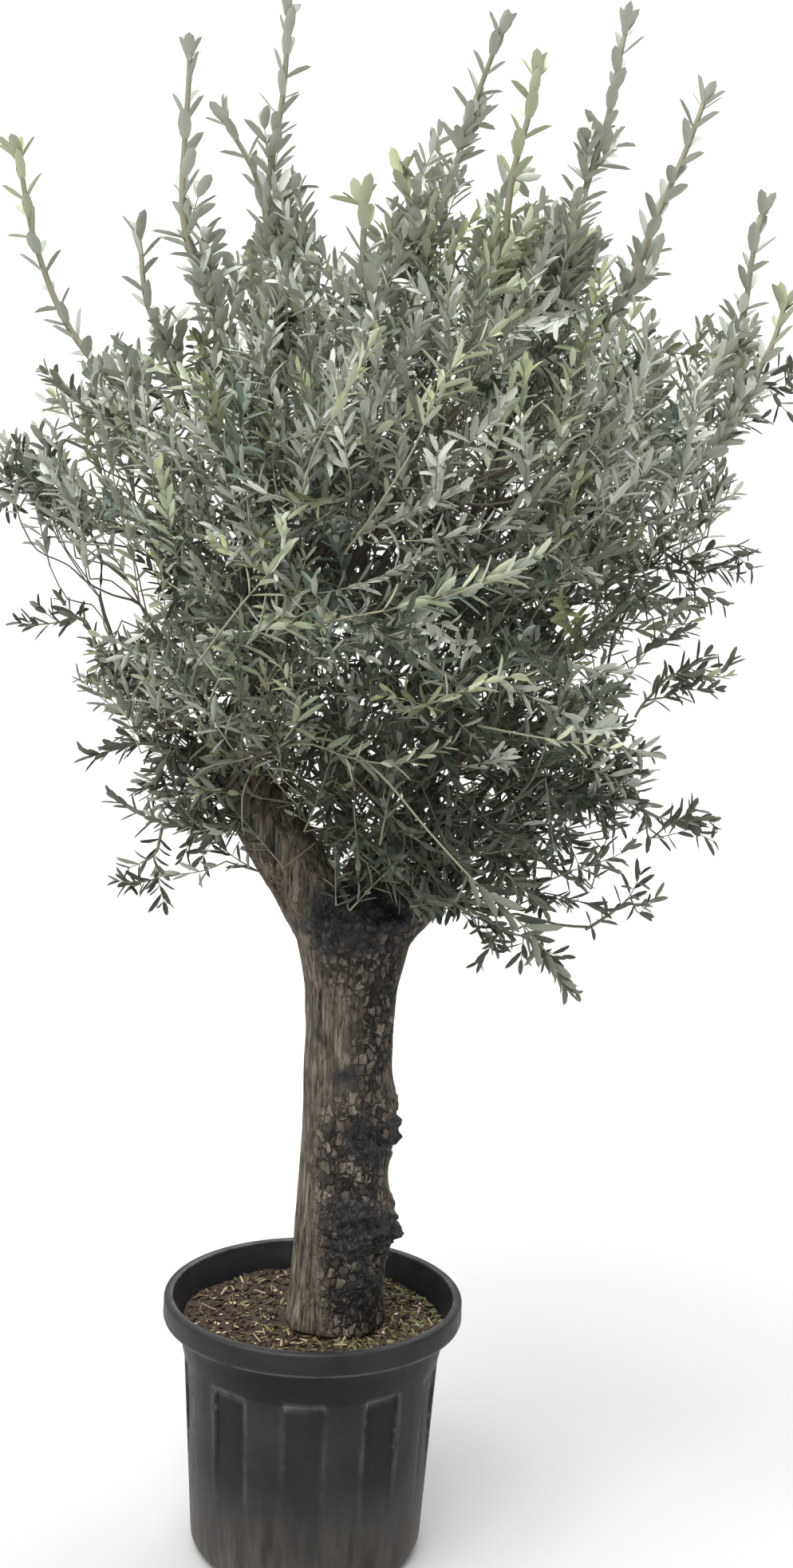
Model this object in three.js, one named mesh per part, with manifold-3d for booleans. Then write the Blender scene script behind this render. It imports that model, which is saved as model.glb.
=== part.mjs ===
// An olive tree grown as a standard in a black nursery pot.
//
// Millimetres, +Z up. The origin is the middle of the pot's flat underside,
// +X is the tree's right seen from the front, and +Y is its back.
// The wood is a leaning trunk and three boughs. The crown is a set of uneven
// leaf masses in tiers, with slender leafy shoots on top and loose sprays at
// the sides. Pieces that touch keep a small gap.
import * as THREE from 'three';
import { mergeVertices } from 'three/addons/utils/BufferGeometryUtils.js';
import Module from 'manifold-3d';

const wasm = await Module();
wasm.setup();

// ---- Driving dimensions ---------------------------------------------------

const GAP = 0.4;                   // left between pieces that touch
const CUT_MARGIN = 1.2;            // how far a cutter stands proud of its piece

// Pot: a tapered tub with a smooth collar and a rolled rim band.
const POT_HEIGHT = 436;
const RIM_RADIUS = 250;
const RIM_BAND = 38;               // height of the rim band
const LIP_RADIUS = 234;            // inside of the rim
const COLLAR_RADIUS = 224;
const COLLAR_FOOT = 332;           // level where the collar begins
const BODY_TOP_RADIUS = 213;
const BASE_RADIUS = 195;
const BASE_CORNER = 28;            // radius of the corner under the body
const POT_WALL = 4.5;
const POT_SEGMENTS = 32;

// Soil: fills the pot to a little below the rim.
const SOIL_LEVEL = 388;

// Trunk: from a flat cut on the soil to the fork.
const TRUNK_FOOT_X = 38;
const TRUNK_HEAD_X = 47;
const TRUNK_RADIUS = 73;           // at the waist
const FLARE = 13;                  // extra radius at the soil
const FLARE_HEIGHT = 110;
const FORK_LEVEL = 1085;
const FORK_SWELL = 27;             // extra radius at the fork
const FORK_SWELL_HEIGHT = 170;
const BURLS = [
  { level: 735, bearing: -20, height: 11, spread: 55 },
  { level: 560, bearing: -25, height: 13, spread: 48 },
  { level: 905, bearing: -95, height: 5, spread: 40 },
];

// Boughs: where each springs, its bearing seen from above (0 is +X, 90 is +Y),
// its rise above level, its length, how far it bows, and its end radii.
const BOUGHS = {
  bough_left: { root: [16, -4, 1050], bearing: 185, rise: 58, length: 366, bow: -2, thick: 62, thin: 45 },
  bough_right: { root: [92, 0, 1064], bearing: 3, rise: 42, length: 290, bow: 2, thick: 52, thin: 34 },
  bough_middle: { root: [58, 22, 1060], bearing: 68, rise: 66, length: 300, bow: -4, thick: 58, thin: 34 },
};

// Crown: tiers of leaf masses, lowest first. level is the middle height, half
// is half the depth, rake is how much a mass rises outwards, and each mass runs
// along its bearing from inner to reach, both measured from the crown's axis.
const CROWN_AXIS_X = 62;
const TIERS = {
  skirt: {
    level: 1240, half: 160, inner: 30, rake: -0.1,
    masses: {
      right: { bearing: 2, reach: 465 },
      front: { bearing: 306, reach: 340, half: 130 },
      back: { bearing: 96, reach: 430 },
      left: { bearing: 180, reach: 355, inner: 225, level: 1215, half: 120, rake: 0 },
    },
  },
  middle: {
    level: 1560, half: 225, inner: -40, rake: 0.1,
    masses: {
      left: { bearing: 176, reach: 460, level: 1535 },
      front: { bearing: 246, reach: 470, level: 1595 },
      front_right: { bearing: 318, reach: 530, level: 1535 },
      back_right: { bearing: 34, reach: 545, level: 1575 },
      back: { bearing: 108, reach: 490, level: 1600 },
    },
  },
  upper: {
    level: 1885, half: 225, inner: -40, rake: 0.22,
    masses: {
      left: { bearing: 181, reach: 580, level: 1805, half: 190 },
      front: { bearing: 258, reach: 430, level: 1900 },
      front_right: { bearing: 324, reach: 560, level: 1850 },
      back_right: { bearing: 30, reach: 600, level: 1910 },
      back: { bearing: 104, reach: 490, level: 1860 },
    },
  },
  top: {
    level: 2060, half: 130, inner: -30, rake: 0.1,
    masses: {
      left: { bearing: 175, reach: 330, level: 2040 },
      right: { bearing: 352, reach: 390, level: 2085 },
      back: { bearing: 85, reach: 290, level: 2070 },
    },
  },
};
const MASS_BREADTH = 0.62;         // half a mass's width, as a part of its reach
const MASS_SLIMNESS = 0.8;         // the most that half width may be of its length
const UNEVENNESS = 0.13;           // how much a mass's surface swells and dips
const MASS_DETAIL = 2;

// Leafy shoots that stand up out of the crown: the tip of each.
const SHOOT_SOURCE = [45, 0, 1050];   // they fan out from the fork
const SHOOT_REACH = 0.34;          // part of the way from tip to fork
const SHOOT_RADIUS = 40;
const SHOOTS = {
  shoot_far_left: [-505, -60, 2256],
  shoot_left_low: [-352, 120, 2178],
  shoot_left: [-253, -130, 2383],
  shoot_left_inner: [-200, 100, 2355],
  shoot_tallest: [-101, 0, 2521],
  shoot_front: [28, -280, 2158],
  shoot_middle: [64, -130, 2232],
  shoot_right_inner: [220, 80, 2497],
  shoot_pale: [265, -110, 2393],
  shoot_right: [427, 10, 2490],
  shoot_right_outer: [531, -90, 2354],
  shoot_far_right: [666, 90, 2238],
  shoot_right_low: [674, -70, 2068],
  shoot_back_left: [-130, 260, 2280],
  shoot_back_right: [260, 280, 2330],
};

// Sprays that stand or hang out from the crown's sides: the tip of each, and
// how much higher than its tip the spray springs from.
const SPRAY_RADIUS = 44;
const SPRAY_REACH = 0.5;           // part of the way from tip to crown axis
const SPRAYS = {
  spray_left_high: { tip: [-575, -20, 1745], droop: 0 },
  spray_left_mid: { tip: [-486, -30, 1537], droop: -60 },
  spray_left_low: { tip: [-385, -20, 1330], droop: 60 },
  spray_left_hanging: { tip: [-330, 10, 1120], droop: 260 },
  spray_right_high: { tip: [700, -20, 1945], droop: -120 },
  spray_right_upper: { tip: [640, -10, 1700], droop: -60 },
  spray_right_mid: { tip: [632, 20, 1490], droop: -30 },
  spray_right_low: { tip: [618, 0, 1255], droop: 30 },
  spray_right_hanging: { tip: [512, -40, 1110], droop: 180 },
  spray_hanging_low: { tip: [400, -60, 975], droop: 330 },
  spray_front: { tip: [60, -545, 1560], droop: 20 },
  spray_back: { tip: [150, 560, 1590], droop: 10 },
};

// ---- Materials ------------------------------------------------------------

const material = (color, roughness) => new THREE.MeshStandardMaterial({ color, roughness, metalness: 0 });
const FINISH = {
  plastic: material(0x2d2f32, 0.55),
  soil: material(0x5d4a35, 0.95),
  bark: material(0x5a4d42, 0.9),
  leaf: material(0x56624f, 0.7),
  young: material(0x7d8a66, 0.7),
};

// ---- Helpers --------------------------------------------------------------

const radians = THREE.MathUtils.degToRad;
const smooth = THREE.MathUtils.smoothstep;
const vector = ([x, y, z]) => new THREE.Vector3(x, y, z);

/** A closed geometry as a manifold solid. */
function toSolid(geometry) {
  const bare = geometry.index ? geometry.toNonIndexed() : geometry.clone();
  for (const name of ['normal', 'uv']) bare.deleteAttribute(name);
  const merged = mergeVertices(bare, 1e-3);
  return new wasm.Manifold(new wasm.Mesh({
    numProp: 3,
    vertProperties: merged.attributes.position.array,
    triVerts: new Uint32Array(merged.index.array),
  }));
}

/** A manifold solid as a geometry. */
function toGeometry(solid) {
  const mesh = solid.getMesh();
  const geometry = new THREE.BufferGeometry();
  geometry.setAttribute('position', new THREE.BufferAttribute(mesh.vertProperties, 3));
  geometry.setIndex(new THREE.BufferAttribute(mesh.triVerts, 1));
  geometry.computeVertexNormals();
  return geometry;
}

/** The largest separate body of a solid, so that a cut leaves no crumbs. */
function largestBody(solid) {
  const bodies = solid.decompose();
  return bodies.reduce((best, body) => (body.volume() > best.volume() ? body : best));
}

/** Moves every vertex of a geometry to where the given function puts it. */
function reshape(geometry, place) {
  const position = geometry.attributes.position;
  const point = new THREE.Vector3();
  for (let i = 0; i < position.count; i += 1) {
    point.fromBufferAttribute(position, i);
    point.copy(place(point));
    position.setXYZ(i, point.x, point.y, point.z);
  }
  return geometry;
}

/** A tapering limb: a closed cylinder laid along a curve, its sections square to the curve. */
function limb(curve, radiusAt, sides, steps, grow = 0) {
  const frames = curve.computeFrenetFrames(steps, false);
  const geometry = new THREE.CylinderGeometry(1, 1, 1, sides, steps);
  return reshape(geometry, (p) => {
    const along = p.y + 0.5;
    const step = Math.round(along * steps);
    const size = radiusAt(along) + grow;
    const end = step === 0 ? -grow : step === steps ? grow : 0;
    return curve.getPointAt(along)
      .addScaledVector(frames.normals[step], p.x * size)
      .addScaledVector(frames.binormals[step], -p.z * size)
      .addScaledVector(frames.tangents[step], end);
  });
}

/** Slow waves over the directions of a sphere, different for each seed. */
function waves(direction, seed) {
  const { x, y, z } = direction;
  return (Math.sin(3.1 * x + 1.7 * seed) + Math.sin(3.7 * y + 2.3 * seed)
    + Math.sin(4.3 * z + 2.9 * seed) + Math.sin(5.9 * (x + y - z) + seed)) / 4;
}

// ---- Pot and soil ---------------------------------------------------------

const slope = (BODY_TOP_RADIUS - BASE_RADIUS) / (COLLAR_FOOT - BASE_CORNER);

/** Radius of the pot's inside wall at a level above its corner. */
function insideRadius(level) {
  if (level >= COLLAR_FOOT) return COLLAR_RADIUS - POT_WALL - 6 * (1 - smooth(level, COLLAR_FOOT, SOIL_LEVEL));
  return BASE_RADIUS + slope * (level - BASE_CORNER) - POT_WALL;
}

/** The pot: outside up from the axis, over the rim, and down the inside to its floor. */
function potGeometry() {
  const outline = new THREE.Path();
  outline.moveTo(0, 0);
  outline.lineTo(BASE_RADIUS - BASE_CORNER, 0);
  outline.absarc(BASE_RADIUS - BASE_CORNER, BASE_CORNER, BASE_CORNER, -Math.PI / 2, 0, false);
  outline.lineTo(BODY_TOP_RADIUS, COLLAR_FOOT);
  outline.lineTo(COLLAR_RADIUS - 5, COLLAR_FOOT + 3);
  outline.lineTo(COLLAR_RADIUS, POT_HEIGHT - RIM_BAND - 14);
  outline.lineTo(RIM_RADIUS - 3, POT_HEIGHT - RIM_BAND);
  outline.lineTo(RIM_RADIUS, POT_HEIGHT - RIM_BAND + 5);
  outline.lineTo(RIM_RADIUS - 1, POT_HEIGHT - 7);
  outline.lineTo(RIM_RADIUS - 7, POT_HEIGHT);
  outline.lineTo(LIP_RADIUS + 3, POT_HEIGHT);
  outline.lineTo(LIP_RADIUS, POT_HEIGHT - 5);
  outline.lineTo(insideRadius(SOIL_LEVEL), SOIL_LEVEL);
  outline.lineTo(insideRadius(COLLAR_FOOT), COLLAR_FOOT);
  outline.lineTo(insideRadius(BASE_CORNER), BASE_CORNER);
  outline.lineTo(BASE_RADIUS - BASE_CORNER, POT_WALL);
  outline.lineTo(0, POT_WALL);
  return turned(outline.getPoints(3));
}

/** The soil: the pot's inside up to the soil level. */
function soilGeometry() {
  return turned([
    new THREE.Vector2(0, POT_WALL + GAP),
    new THREE.Vector2(BASE_RADIUS - BASE_CORNER - 2 * GAP, POT_WALL + GAP),
    new THREE.Vector2(insideRadius(BASE_CORNER) - 2 * GAP, BASE_CORNER),
    new THREE.Vector2(insideRadius(COLLAR_FOOT) - 2 * GAP, COLLAR_FOOT),
    new THREE.Vector2(insideRadius(SOIL_LEVEL) - 2 * GAP, SOIL_LEVEL),
    new THREE.Vector2(0, SOIL_LEVEL),
  ]);
}

/** A profile of radius and height turned about the upright axis. */
function turned(profile) {
  return new THREE.LatheGeometry(profile, POT_SEGMENTS).rotateX(Math.PI / 2);
}

// ---- Trunk and boughs -----------------------------------------------------

/** The trunk's radius at a level and bearing, with its flare, fork and burls. */
function trunkRadius(level, bearing) {
  const above = level - SOIL_LEVEL;
  const flare = FLARE * Math.exp(-above / FLARE_HEIGHT);
  const swell = FORK_SWELL * smooth(level, FORK_LEVEL - FORK_SWELL_HEIGHT, FORK_LEVEL + 10);
  const flutes = 1.5 * Math.sin(3 * bearing + level / 90) + 4 * Math.exp(-above / 60) * Math.sin(5 * bearing + 1);
  const bumps = BURLS.reduce((sum, burl) => {
    const around = TRUNK_RADIUS * Math.atan2(
      Math.sin(bearing - radians(burl.bearing)),
      Math.cos(bearing - radians(burl.bearing)),
    );
    const distance = Math.hypot(around, level - burl.level);
    return sum + burl.height * Math.exp(-((distance / burl.spread) ** 2));
  }, 0);
  return TRUNK_RADIUS + flare + swell + flutes + bumps;
}

/** The trunk: level sections from the flat cut on the soil to a blunt fork. */
function trunkGeometry(grow = 0) {
  const steps = 11;
  const foot = SOIL_LEVEL + GAP;
  const geometry = new THREE.CylinderGeometry(1, 1, 1, 14, steps);
  return reshape(geometry, (p) => {
    const along = p.y + 0.5;
    const level = foot + along * (FORK_LEVEL - foot) + (along === 1 ? grow : 0);
    const bearing = Math.atan2(-p.z, p.x);
    const radius = (trunkRadius(level, bearing) + grow) * Math.hypot(p.x, p.z);
    const x = TRUNK_FOOT_X + (TRUNK_HEAD_X - TRUNK_FOOT_X) * along;
    return new THREE.Vector3(x + radius * Math.cos(bearing), radius * Math.sin(bearing), level);
  });
}

/** The line down the middle of a bough. */
function boughCurve({ root, bearing, rise, length, bow }) {
  const start = vector(root);
  const flat = new THREE.Vector3(Math.cos(radians(bearing)), Math.sin(radians(bearing)), 0);
  const point = (part) => {
    const angle = radians(rise + bow * Math.sin(Math.PI * part));
    return start.clone()
      .addScaledVector(flat, length * part * Math.cos(angle))
      .add(new THREE.Vector3(0, 0, length * part * Math.sin(angle)));
  };
  return new THREE.CatmullRomCurve3([0, 0.25, 0.5, 0.75, 1].map(point));
}

/** One bough, as a limb that tapers quickly at first and then slowly. */
function boughGeometry(bough) {
  const radiusAt = (part) => bough.thin + (bough.thick - bough.thin) * (1 - part) ** 1.4;
  return limb(boughCurve(bough), radiusAt, 10, 6);
}

// ---- Crown ----------------------------------------------------------------

/** One leaf mass: an uneven egg that lies along its bearing and rises outwards. */
function massGeometry({ bearing, level, half, inner, reach, rake }, seed, grow = 0) {
  const radii = new THREE.Vector3((reach - inner) / 2, Math.min(reach * MASS_BREADTH, (reach - inner) * MASS_SLIMNESS), half);
  const upright = new THREE.Vector3(0, 0, 1);
  return reshape(new THREE.IcosahedronGeometry(1, MASS_DETAIL), (p) => {
    const direction = p.clone().normalize();
    const swell = 1 + UNEVENNESS * waves(direction, seed);
    const point = direction.clone().multiply(radii).multiplyScalar(swell).addScaledVector(direction, grow);
    point.z += rake * point.x;
    point.x += (inner + reach) / 2;
    point.applyAxisAngle(upright, radians(bearing));
    return point.add(new THREE.Vector3(CROWN_AXIS_X, 0, level));
  });
}

/** A leafy shoot: slim, bowed, and closing to a point of young leaves. */
function shootGeometry(tip, source, reach, radius, bow, grow = 0) {
  const top = vector(tip);
  const foot = top.clone().lerp(vector(source), reach);
  const sideways = new THREE.Vector3(bow, 0, 0);
  const middle = top.clone().lerp(foot, 0.5).add(sideways);
  const curve = new THREE.CatmullRomCurve3([foot, middle, top]);
  const radiusAt = (part) => radius * (0.28 + 0.72 * Math.sqrt(Math.max(0, 1 - part ** 2.2)));
  return limb(curve, radiusAt, 6, 5, grow);
}

/** A side spray: a shoot that springs from the crown's axis, higher or lower than its tip. */
function sprayGeometry({ tip, droop }, grow = 0) {
  const source = [CROWN_AXIS_X, 0, tip[2] + droop];
  return shootGeometry(tip, source, SPRAY_REACH, SPRAY_RADIUS, 0, grow);
}

// ---- Assembly -------------------------------------------------------------

const group = new THREE.Group();

/** Adds one named piece to the tree. */
function add(name, geometry, finish) {
  const mesh = new THREE.Mesh(geometry, finish);
  mesh.name = name;
  group.add(mesh);
}

/** Cuts a solid back from each cutter it meets, and keeps its main body. */
function cutBack(solid, cutters) {
  return largestBody(cutters.reduce((rest, cutter) => rest.subtract(cutter), solid));
}

add('pot', potGeometry(), FINISH.plastic);
add('soil', soilGeometry(), FINISH.soil);
add('trunk', trunkGeometry(), FINISH.bark);

const woodCutters = [toSolid(trunkGeometry(CUT_MARGIN))];

// Leaf masses: each is cut back from the trunk and from the masses before it.
const massCutters = [];
Object.entries(TIERS).forEach(([tierName, { masses, ...shared }]) => {
  Object.entries(masses).forEach(([side, own]) => {
    const mass = { ...shared, ...own };
    const seed = massCutters.length + 1;
    const solid = toSolid(massGeometry(mass, seed));
    add(`crown_${tierName}_${side}`, toGeometry(cutBack(solid, [...woodCutters, ...massCutters])), FINISH.leaf);
    massCutters.push(toSolid(massGeometry(mass, seed, CUT_MARGIN)));
  });
});

// Boughs: from the trunk's head to where each enters the leaves.
const boughCutters = [];
Object.entries(BOUGHS).forEach(([name, bough]) => {
  const solid = toSolid(boughGeometry(bough));
  add(name, toGeometry(cutBack(solid, [...woodCutters, ...boughCutters, ...massCutters])), FINISH.bark);
  boughCutters.push(toSolid(boughGeometry({ ...bough, thick: bough.thick + GAP, thin: bough.thin + GAP })));
});

// Shoots and sprays: from the leaf masses out to the tree's tips.
const shootCutters = [...woodCutters, ...boughCutters, ...massCutters];
Object.entries(SHOOTS).forEach(([name, tip], index) => {
  const bow = index % 2 ? 14 : -14;
  const solid = toSolid(shootGeometry(tip, SHOOT_SOURCE, SHOOT_REACH, SHOOT_RADIUS, bow));
  const finish = name === 'shoot_pale' ? FINISH.young : FINISH.leaf;
  add(name, toGeometry(cutBack(solid, shootCutters)), finish);
  shootCutters.push(toSolid(shootGeometry(tip, SHOOT_SOURCE, SHOOT_REACH, SHOOT_RADIUS, bow, CUT_MARGIN)));
});
Object.entries(SPRAYS).forEach(([name, spray]) => {
  const solid = toSolid(sprayGeometry(spray));
  add(name, toGeometry(cutBack(solid, shootCutters)), FINISH.leaf);
  shootCutters.push(toSolid(sprayGeometry(spray, CUT_MARGIN)));
});

export default group;
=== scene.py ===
"""A potted olive tree: the looks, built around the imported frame.

The frame gives the trunk, the boughs, the pot, the soil and the room that each
leaf mass takes. Here the wood gets its bark, the pot its panels, and every leaf
mass is replaced by limbs, twigs and leaves that grow on from the boughs by a
seeded rule.
"""

from __future__ import annotations

import logging
import math
from dataclasses import dataclass, field, replace
from enum import Enum

import bpy
import numpy as np
from mathutils import Matrix, Vector, noise
from mathutils.bvhtree import BVHTree


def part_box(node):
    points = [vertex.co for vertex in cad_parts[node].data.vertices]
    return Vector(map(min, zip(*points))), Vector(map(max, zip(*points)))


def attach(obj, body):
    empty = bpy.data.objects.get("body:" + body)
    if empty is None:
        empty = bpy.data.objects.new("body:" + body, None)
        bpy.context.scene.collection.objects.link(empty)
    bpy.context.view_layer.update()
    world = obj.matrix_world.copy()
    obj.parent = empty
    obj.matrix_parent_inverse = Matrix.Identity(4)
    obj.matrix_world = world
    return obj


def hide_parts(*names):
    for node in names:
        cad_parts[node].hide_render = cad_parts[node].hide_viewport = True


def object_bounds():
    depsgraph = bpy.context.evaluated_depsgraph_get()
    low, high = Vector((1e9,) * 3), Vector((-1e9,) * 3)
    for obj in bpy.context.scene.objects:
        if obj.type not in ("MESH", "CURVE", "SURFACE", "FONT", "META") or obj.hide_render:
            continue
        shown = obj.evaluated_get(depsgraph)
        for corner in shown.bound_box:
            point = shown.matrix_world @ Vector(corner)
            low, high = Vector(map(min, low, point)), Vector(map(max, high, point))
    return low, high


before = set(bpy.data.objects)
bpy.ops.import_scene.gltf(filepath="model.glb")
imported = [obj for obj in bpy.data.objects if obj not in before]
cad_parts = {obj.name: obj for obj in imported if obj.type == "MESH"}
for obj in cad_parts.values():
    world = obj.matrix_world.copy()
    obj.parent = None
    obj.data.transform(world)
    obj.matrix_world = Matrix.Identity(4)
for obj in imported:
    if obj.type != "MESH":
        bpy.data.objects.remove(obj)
CAD_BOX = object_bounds()

LOG = logging.getLogger("olive")
BODY = "root"
MM = 0.001
SEED = 41
Color = tuple[float, float, float]
Array = np.ndarray


# ---- Shader groups ----------------------------------------------------------


def new_group(name: str, inputs: dict[str, object], outputs: dict[str, str]) -> bpy.types.NodeTree:
    """Make an empty shader node group with named sockets.

    Args:
        name: the group's name.
        inputs: socket name to its default, a float or an RGBA tuple.
        outputs: socket name to its socket type.

    Returns:
        The group, with its Group Input and Group Output nodes in place.
    """
    group = bpy.data.node_groups.new(name, "ShaderNodeTree")
    for label, default in inputs.items():
        kind = "NodeSocketFloat" if isinstance(default, float) else "NodeSocketColor"
        if default is None:
            kind = "NodeSocketVector"
        socket = group.interface.new_socket(label, in_out="INPUT", socket_type=kind)
        if default is not None:
            socket.default_value = default
    for label, kind in outputs.items():
        group.interface.new_socket(label, in_out="OUTPUT", socket_type=kind)
    group.nodes.new("NodeGroupInput").name = "In"
    group.nodes.new("NodeGroupOutput").name = "Out"
    return group


@dataclass
class Wiring:
    """Short ways to add and join nodes in one node tree."""

    tree: bpy.types.NodeTree

    def add(self, kind: str, **settings: object) -> bpy.types.Node:
        """Add a node of a kind and set its plain properties.

        Args:
            kind: the node's type name.
            settings: its plain properties.

        Returns:
            The new node.
        """
        node = self.tree.nodes.new(kind)
        for key, value in settings.items():
            setattr(node, key, value)
        return node

    def join(self, source: bpy.types.NodeSocket, target: bpy.types.NodeSocket) -> None:
        """Join an output socket to an input socket."""
        self.tree.links.new(source, target)

    def noise(self, where: bpy.types.NodeSocket, scale: float, detail: float = 4.0) -> bpy.types.Node:
        """Add a noise texture that reads its place from a socket.

        Args:
            where: the socket that gives the place.
            scale: how fine the noise is.
            detail: how many finer layers it has.

        Returns:
            The new node.
        """
        node = self.add("ShaderNodeTexNoise")
        node.inputs["Scale"].default_value = scale
        node.inputs["Detail"].default_value = detail
        self.join(where, node.inputs["Vector"])
        return node

    def ramp(self, value: bpy.types.NodeSocket, stops: list[tuple[float, Color]]) -> bpy.types.Node:
        """Add a colour ramp with the given stops.

        Args:
            value: the socket to colour.
            stops: each place on the ramp and its colour.

        Returns:
            The new node.
        """
        node = self.add("ShaderNodeValToRGB")
        elements = node.color_ramp.elements
        while len(elements) < len(stops):
            elements.new(0.5)
        for element, (place, color) in zip(elements, stops):
            element.position = place
            element.color = (*color, 1.0)
        self.join(value, node.inputs["Fac"])
        return node

    def remap(self, value: bpy.types.NodeSocket, low: float, high: float,
              to_low: float = 0.0, to_high: float = 1.0) -> bpy.types.NodeSocket:
        """Add a clamped map from one range of numbers to another.

        Args:
            value: the socket to map.
            low: the value that maps to to_low.
            high: the value that maps to to_high.
            to_low: the result at low.
            to_high: the result at high.

        Returns:
            The mapped socket.
        """
        node = self.add("ShaderNodeMapRange")
        for label, number in (("From Min", low), ("From Max", high), ("To Min", to_low), ("To Max", to_high)):
            node.inputs[label].default_value = number
        self.join(value, node.inputs["Value"])
        return node.outputs["Result"]

    def math(self, operation: str, first: bpy.types.NodeSocket, second: object) -> bpy.types.NodeSocket:
        """Add a math node on a socket and a second socket or number.

        Args:
            operation: the node's operation.
            first: the first socket.
            second: a second socket, or a number.

        Returns:
            The result's socket.
        """
        node = self.add("ShaderNodeMath", operation=operation)
        self.join(first, node.inputs[0])
        if isinstance(second, float):
            node.inputs[1].default_value = second
        else:
            self.join(second, node.inputs[1])
        return node.outputs["Value"]

    def blend(self, factor: bpy.types.NodeSocket, first: object, second: object) -> bpy.types.NodeSocket:
        """Mix two colours, each a socket or an RGB tuple, by a factor.

        Args:
            factor: the socket that gives the share of the second colour.
            first: a socket or an RGB tuple.
            second: a socket or an RGB tuple.

        Returns:
            The mixed colour's socket.
        """
        node = self.add("ShaderNodeMix", data_type="RGBA")
        self.join(factor, node.inputs["Factor"])
        for socket, value in ((node.inputs[6], first), (node.inputs[7], second)):
            if isinstance(value, tuple):
                socket.default_value = (*value, 1.0)
            else:
                self.join(value, socket)
        return node.outputs[2]


def mottle_group() -> bpy.types.NodeTree:
    """Make the shared group that mottles a surface: two colours broken up by noise.

    Returns:
        A group with a colour, a mask and a height over the surface.
    """
    known = bpy.data.node_groups.get("mottle")
    if known:
        return known
    group = new_group(
        "mottle",
        {"Vector": None, "Dark": (0.1, 0.1, 0.1, 1.0), "Light": (0.3, 0.3, 0.3, 1.0),
         "Scale": 20.0, "Contrast": 0.3},
        {"Color": "NodeSocketColor", "Mask": "NodeSocketFloat", "Height": "NodeSocketFloat"},
    )
    wiring = Wiring(group)
    source, out = group.nodes["In"], group.nodes["Out"]
    broad = wiring.add("ShaderNodeTexNoise")
    broad.inputs["Detail"].default_value = 6.0
    broad.inputs["Roughness"].default_value = 0.62
    wiring.join(source.outputs["Vector"], broad.inputs["Vector"])
    wiring.join(source.outputs["Scale"], broad.inputs["Scale"])
    lower = wiring.math("MULTIPLY", source.outputs["Contrast"], -0.5)
    low = wiring.math("ADD", lower, 0.5)
    spread = wiring.math("SUBTRACT", broad.outputs["Fac"], low)
    mask = wiring.math("DIVIDE", spread, source.outputs["Contrast"])
    clamp = wiring.add("ShaderNodeClamp")
    wiring.join(mask, clamp.inputs["Value"])
    mix = wiring.blend(clamp.outputs["Result"], source.outputs["Dark"], source.outputs["Light"])
    wiring.join(mix, out.inputs["Color"])
    wiring.join(clamp.outputs["Result"], out.inputs["Mask"])
    wiring.join(broad.outputs["Fac"], out.inputs["Height"])
    return group


# ---- Finishes ---------------------------------------------------------------


def bare_material(name: str) -> tuple[bpy.types.Material, Wiring, bpy.types.Node]:
    """Make a node material and return it with its wiring and its surface shader.

    Args:
        name: the material's name.

    Returns:
        The material, its wiring and its surface shader.
    """
    material = bpy.data.materials.new(name)
    material.use_nodes = True
    shader = material.node_tree.nodes["Principled BSDF"]
    return material, Wiring(material.node_tree), shader


def place_of(wiring: Wiring, stretch: tuple[float, float, float] = (1.0, 1.0, 1.0)) -> bpy.types.NodeSocket:
    """Add Object coordinates, stretched along each axis.

    Args:
        wiring: the wiring of the material.
        stretch: the scale along each axis.

    Returns:
        The socket with the place.
    """
    source = wiring.add("ShaderNodeTexCoord")
    mapping = wiring.add("ShaderNodeMapping")
    mapping.inputs["Scale"].default_value = stretch
    wiring.join(source.outputs["Object"], mapping.inputs["Vector"])
    return mapping.outputs["Vector"]


def mottled(wiring: Wiring, where: bpy.types.NodeSocket, dark: Color, light: Color,
            scale: float, contrast: float) -> bpy.types.Node:
    """Place the shared mottle group in a material with its own values.

    Args:
        wiring: the wiring of the material.
        where: the socket that gives the place.
        dark: the darker colour.
        light: the lighter colour.
        scale: how fine the mottling is.
        contrast: how wide the step between the colours is.

    Returns:
        The group node.
    """
    node = wiring.add("ShaderNodeGroup", node_tree=mottle_group())
    wiring.join(where, node.inputs["Vector"])
    node.inputs["Dark"].default_value = (*dark, 1.0)
    node.inputs["Light"].default_value = (*light, 1.0)
    node.inputs["Scale"].default_value = scale
    node.inputs["Contrast"].default_value = contrast
    return node


def bump(wiring: Wiring, shader: bpy.types.Node, height: bpy.types.NodeSocket,
         strength: float, distance: float) -> None:
    """Let a height raise the surface.

    Args:
        wiring: the wiring of the material.
        shader: its surface shader.
        height: the socket that gives the height.
        strength: how strongly it tells.
        distance: how high a full height stands, in metres.
    """
    node = wiring.add("ShaderNodeBump")
    node.inputs["Strength"].default_value = strength
    node.inputs["Distance"].default_value = distance
    wiring.join(height, node.inputs["Height"])
    wiring.join(node.outputs["Normal"], shader.inputs["Normal"])


@dataclass(frozen=True)
class LeafFinish:
    """One side of a leaf in one tint, the same all over the blade."""

    name: str
    color: Color
    roughness: float = 0.44
    specular: float = 0.45

    def material(self) -> bpy.types.Material:
        """Return the finish as a material, made once.

        Returns:
            The material.
        """
        known = bpy.data.materials.get(self.name)
        if known:
            return known
        material, _, shader = bare_material(self.name)
        shader.inputs["Base Color"].default_value = (*self.color, 1.0)
        shader.inputs["Roughness"].default_value = self.roughness
        shader.inputs["Specular IOR Level"].default_value = self.specular
        return material


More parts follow.
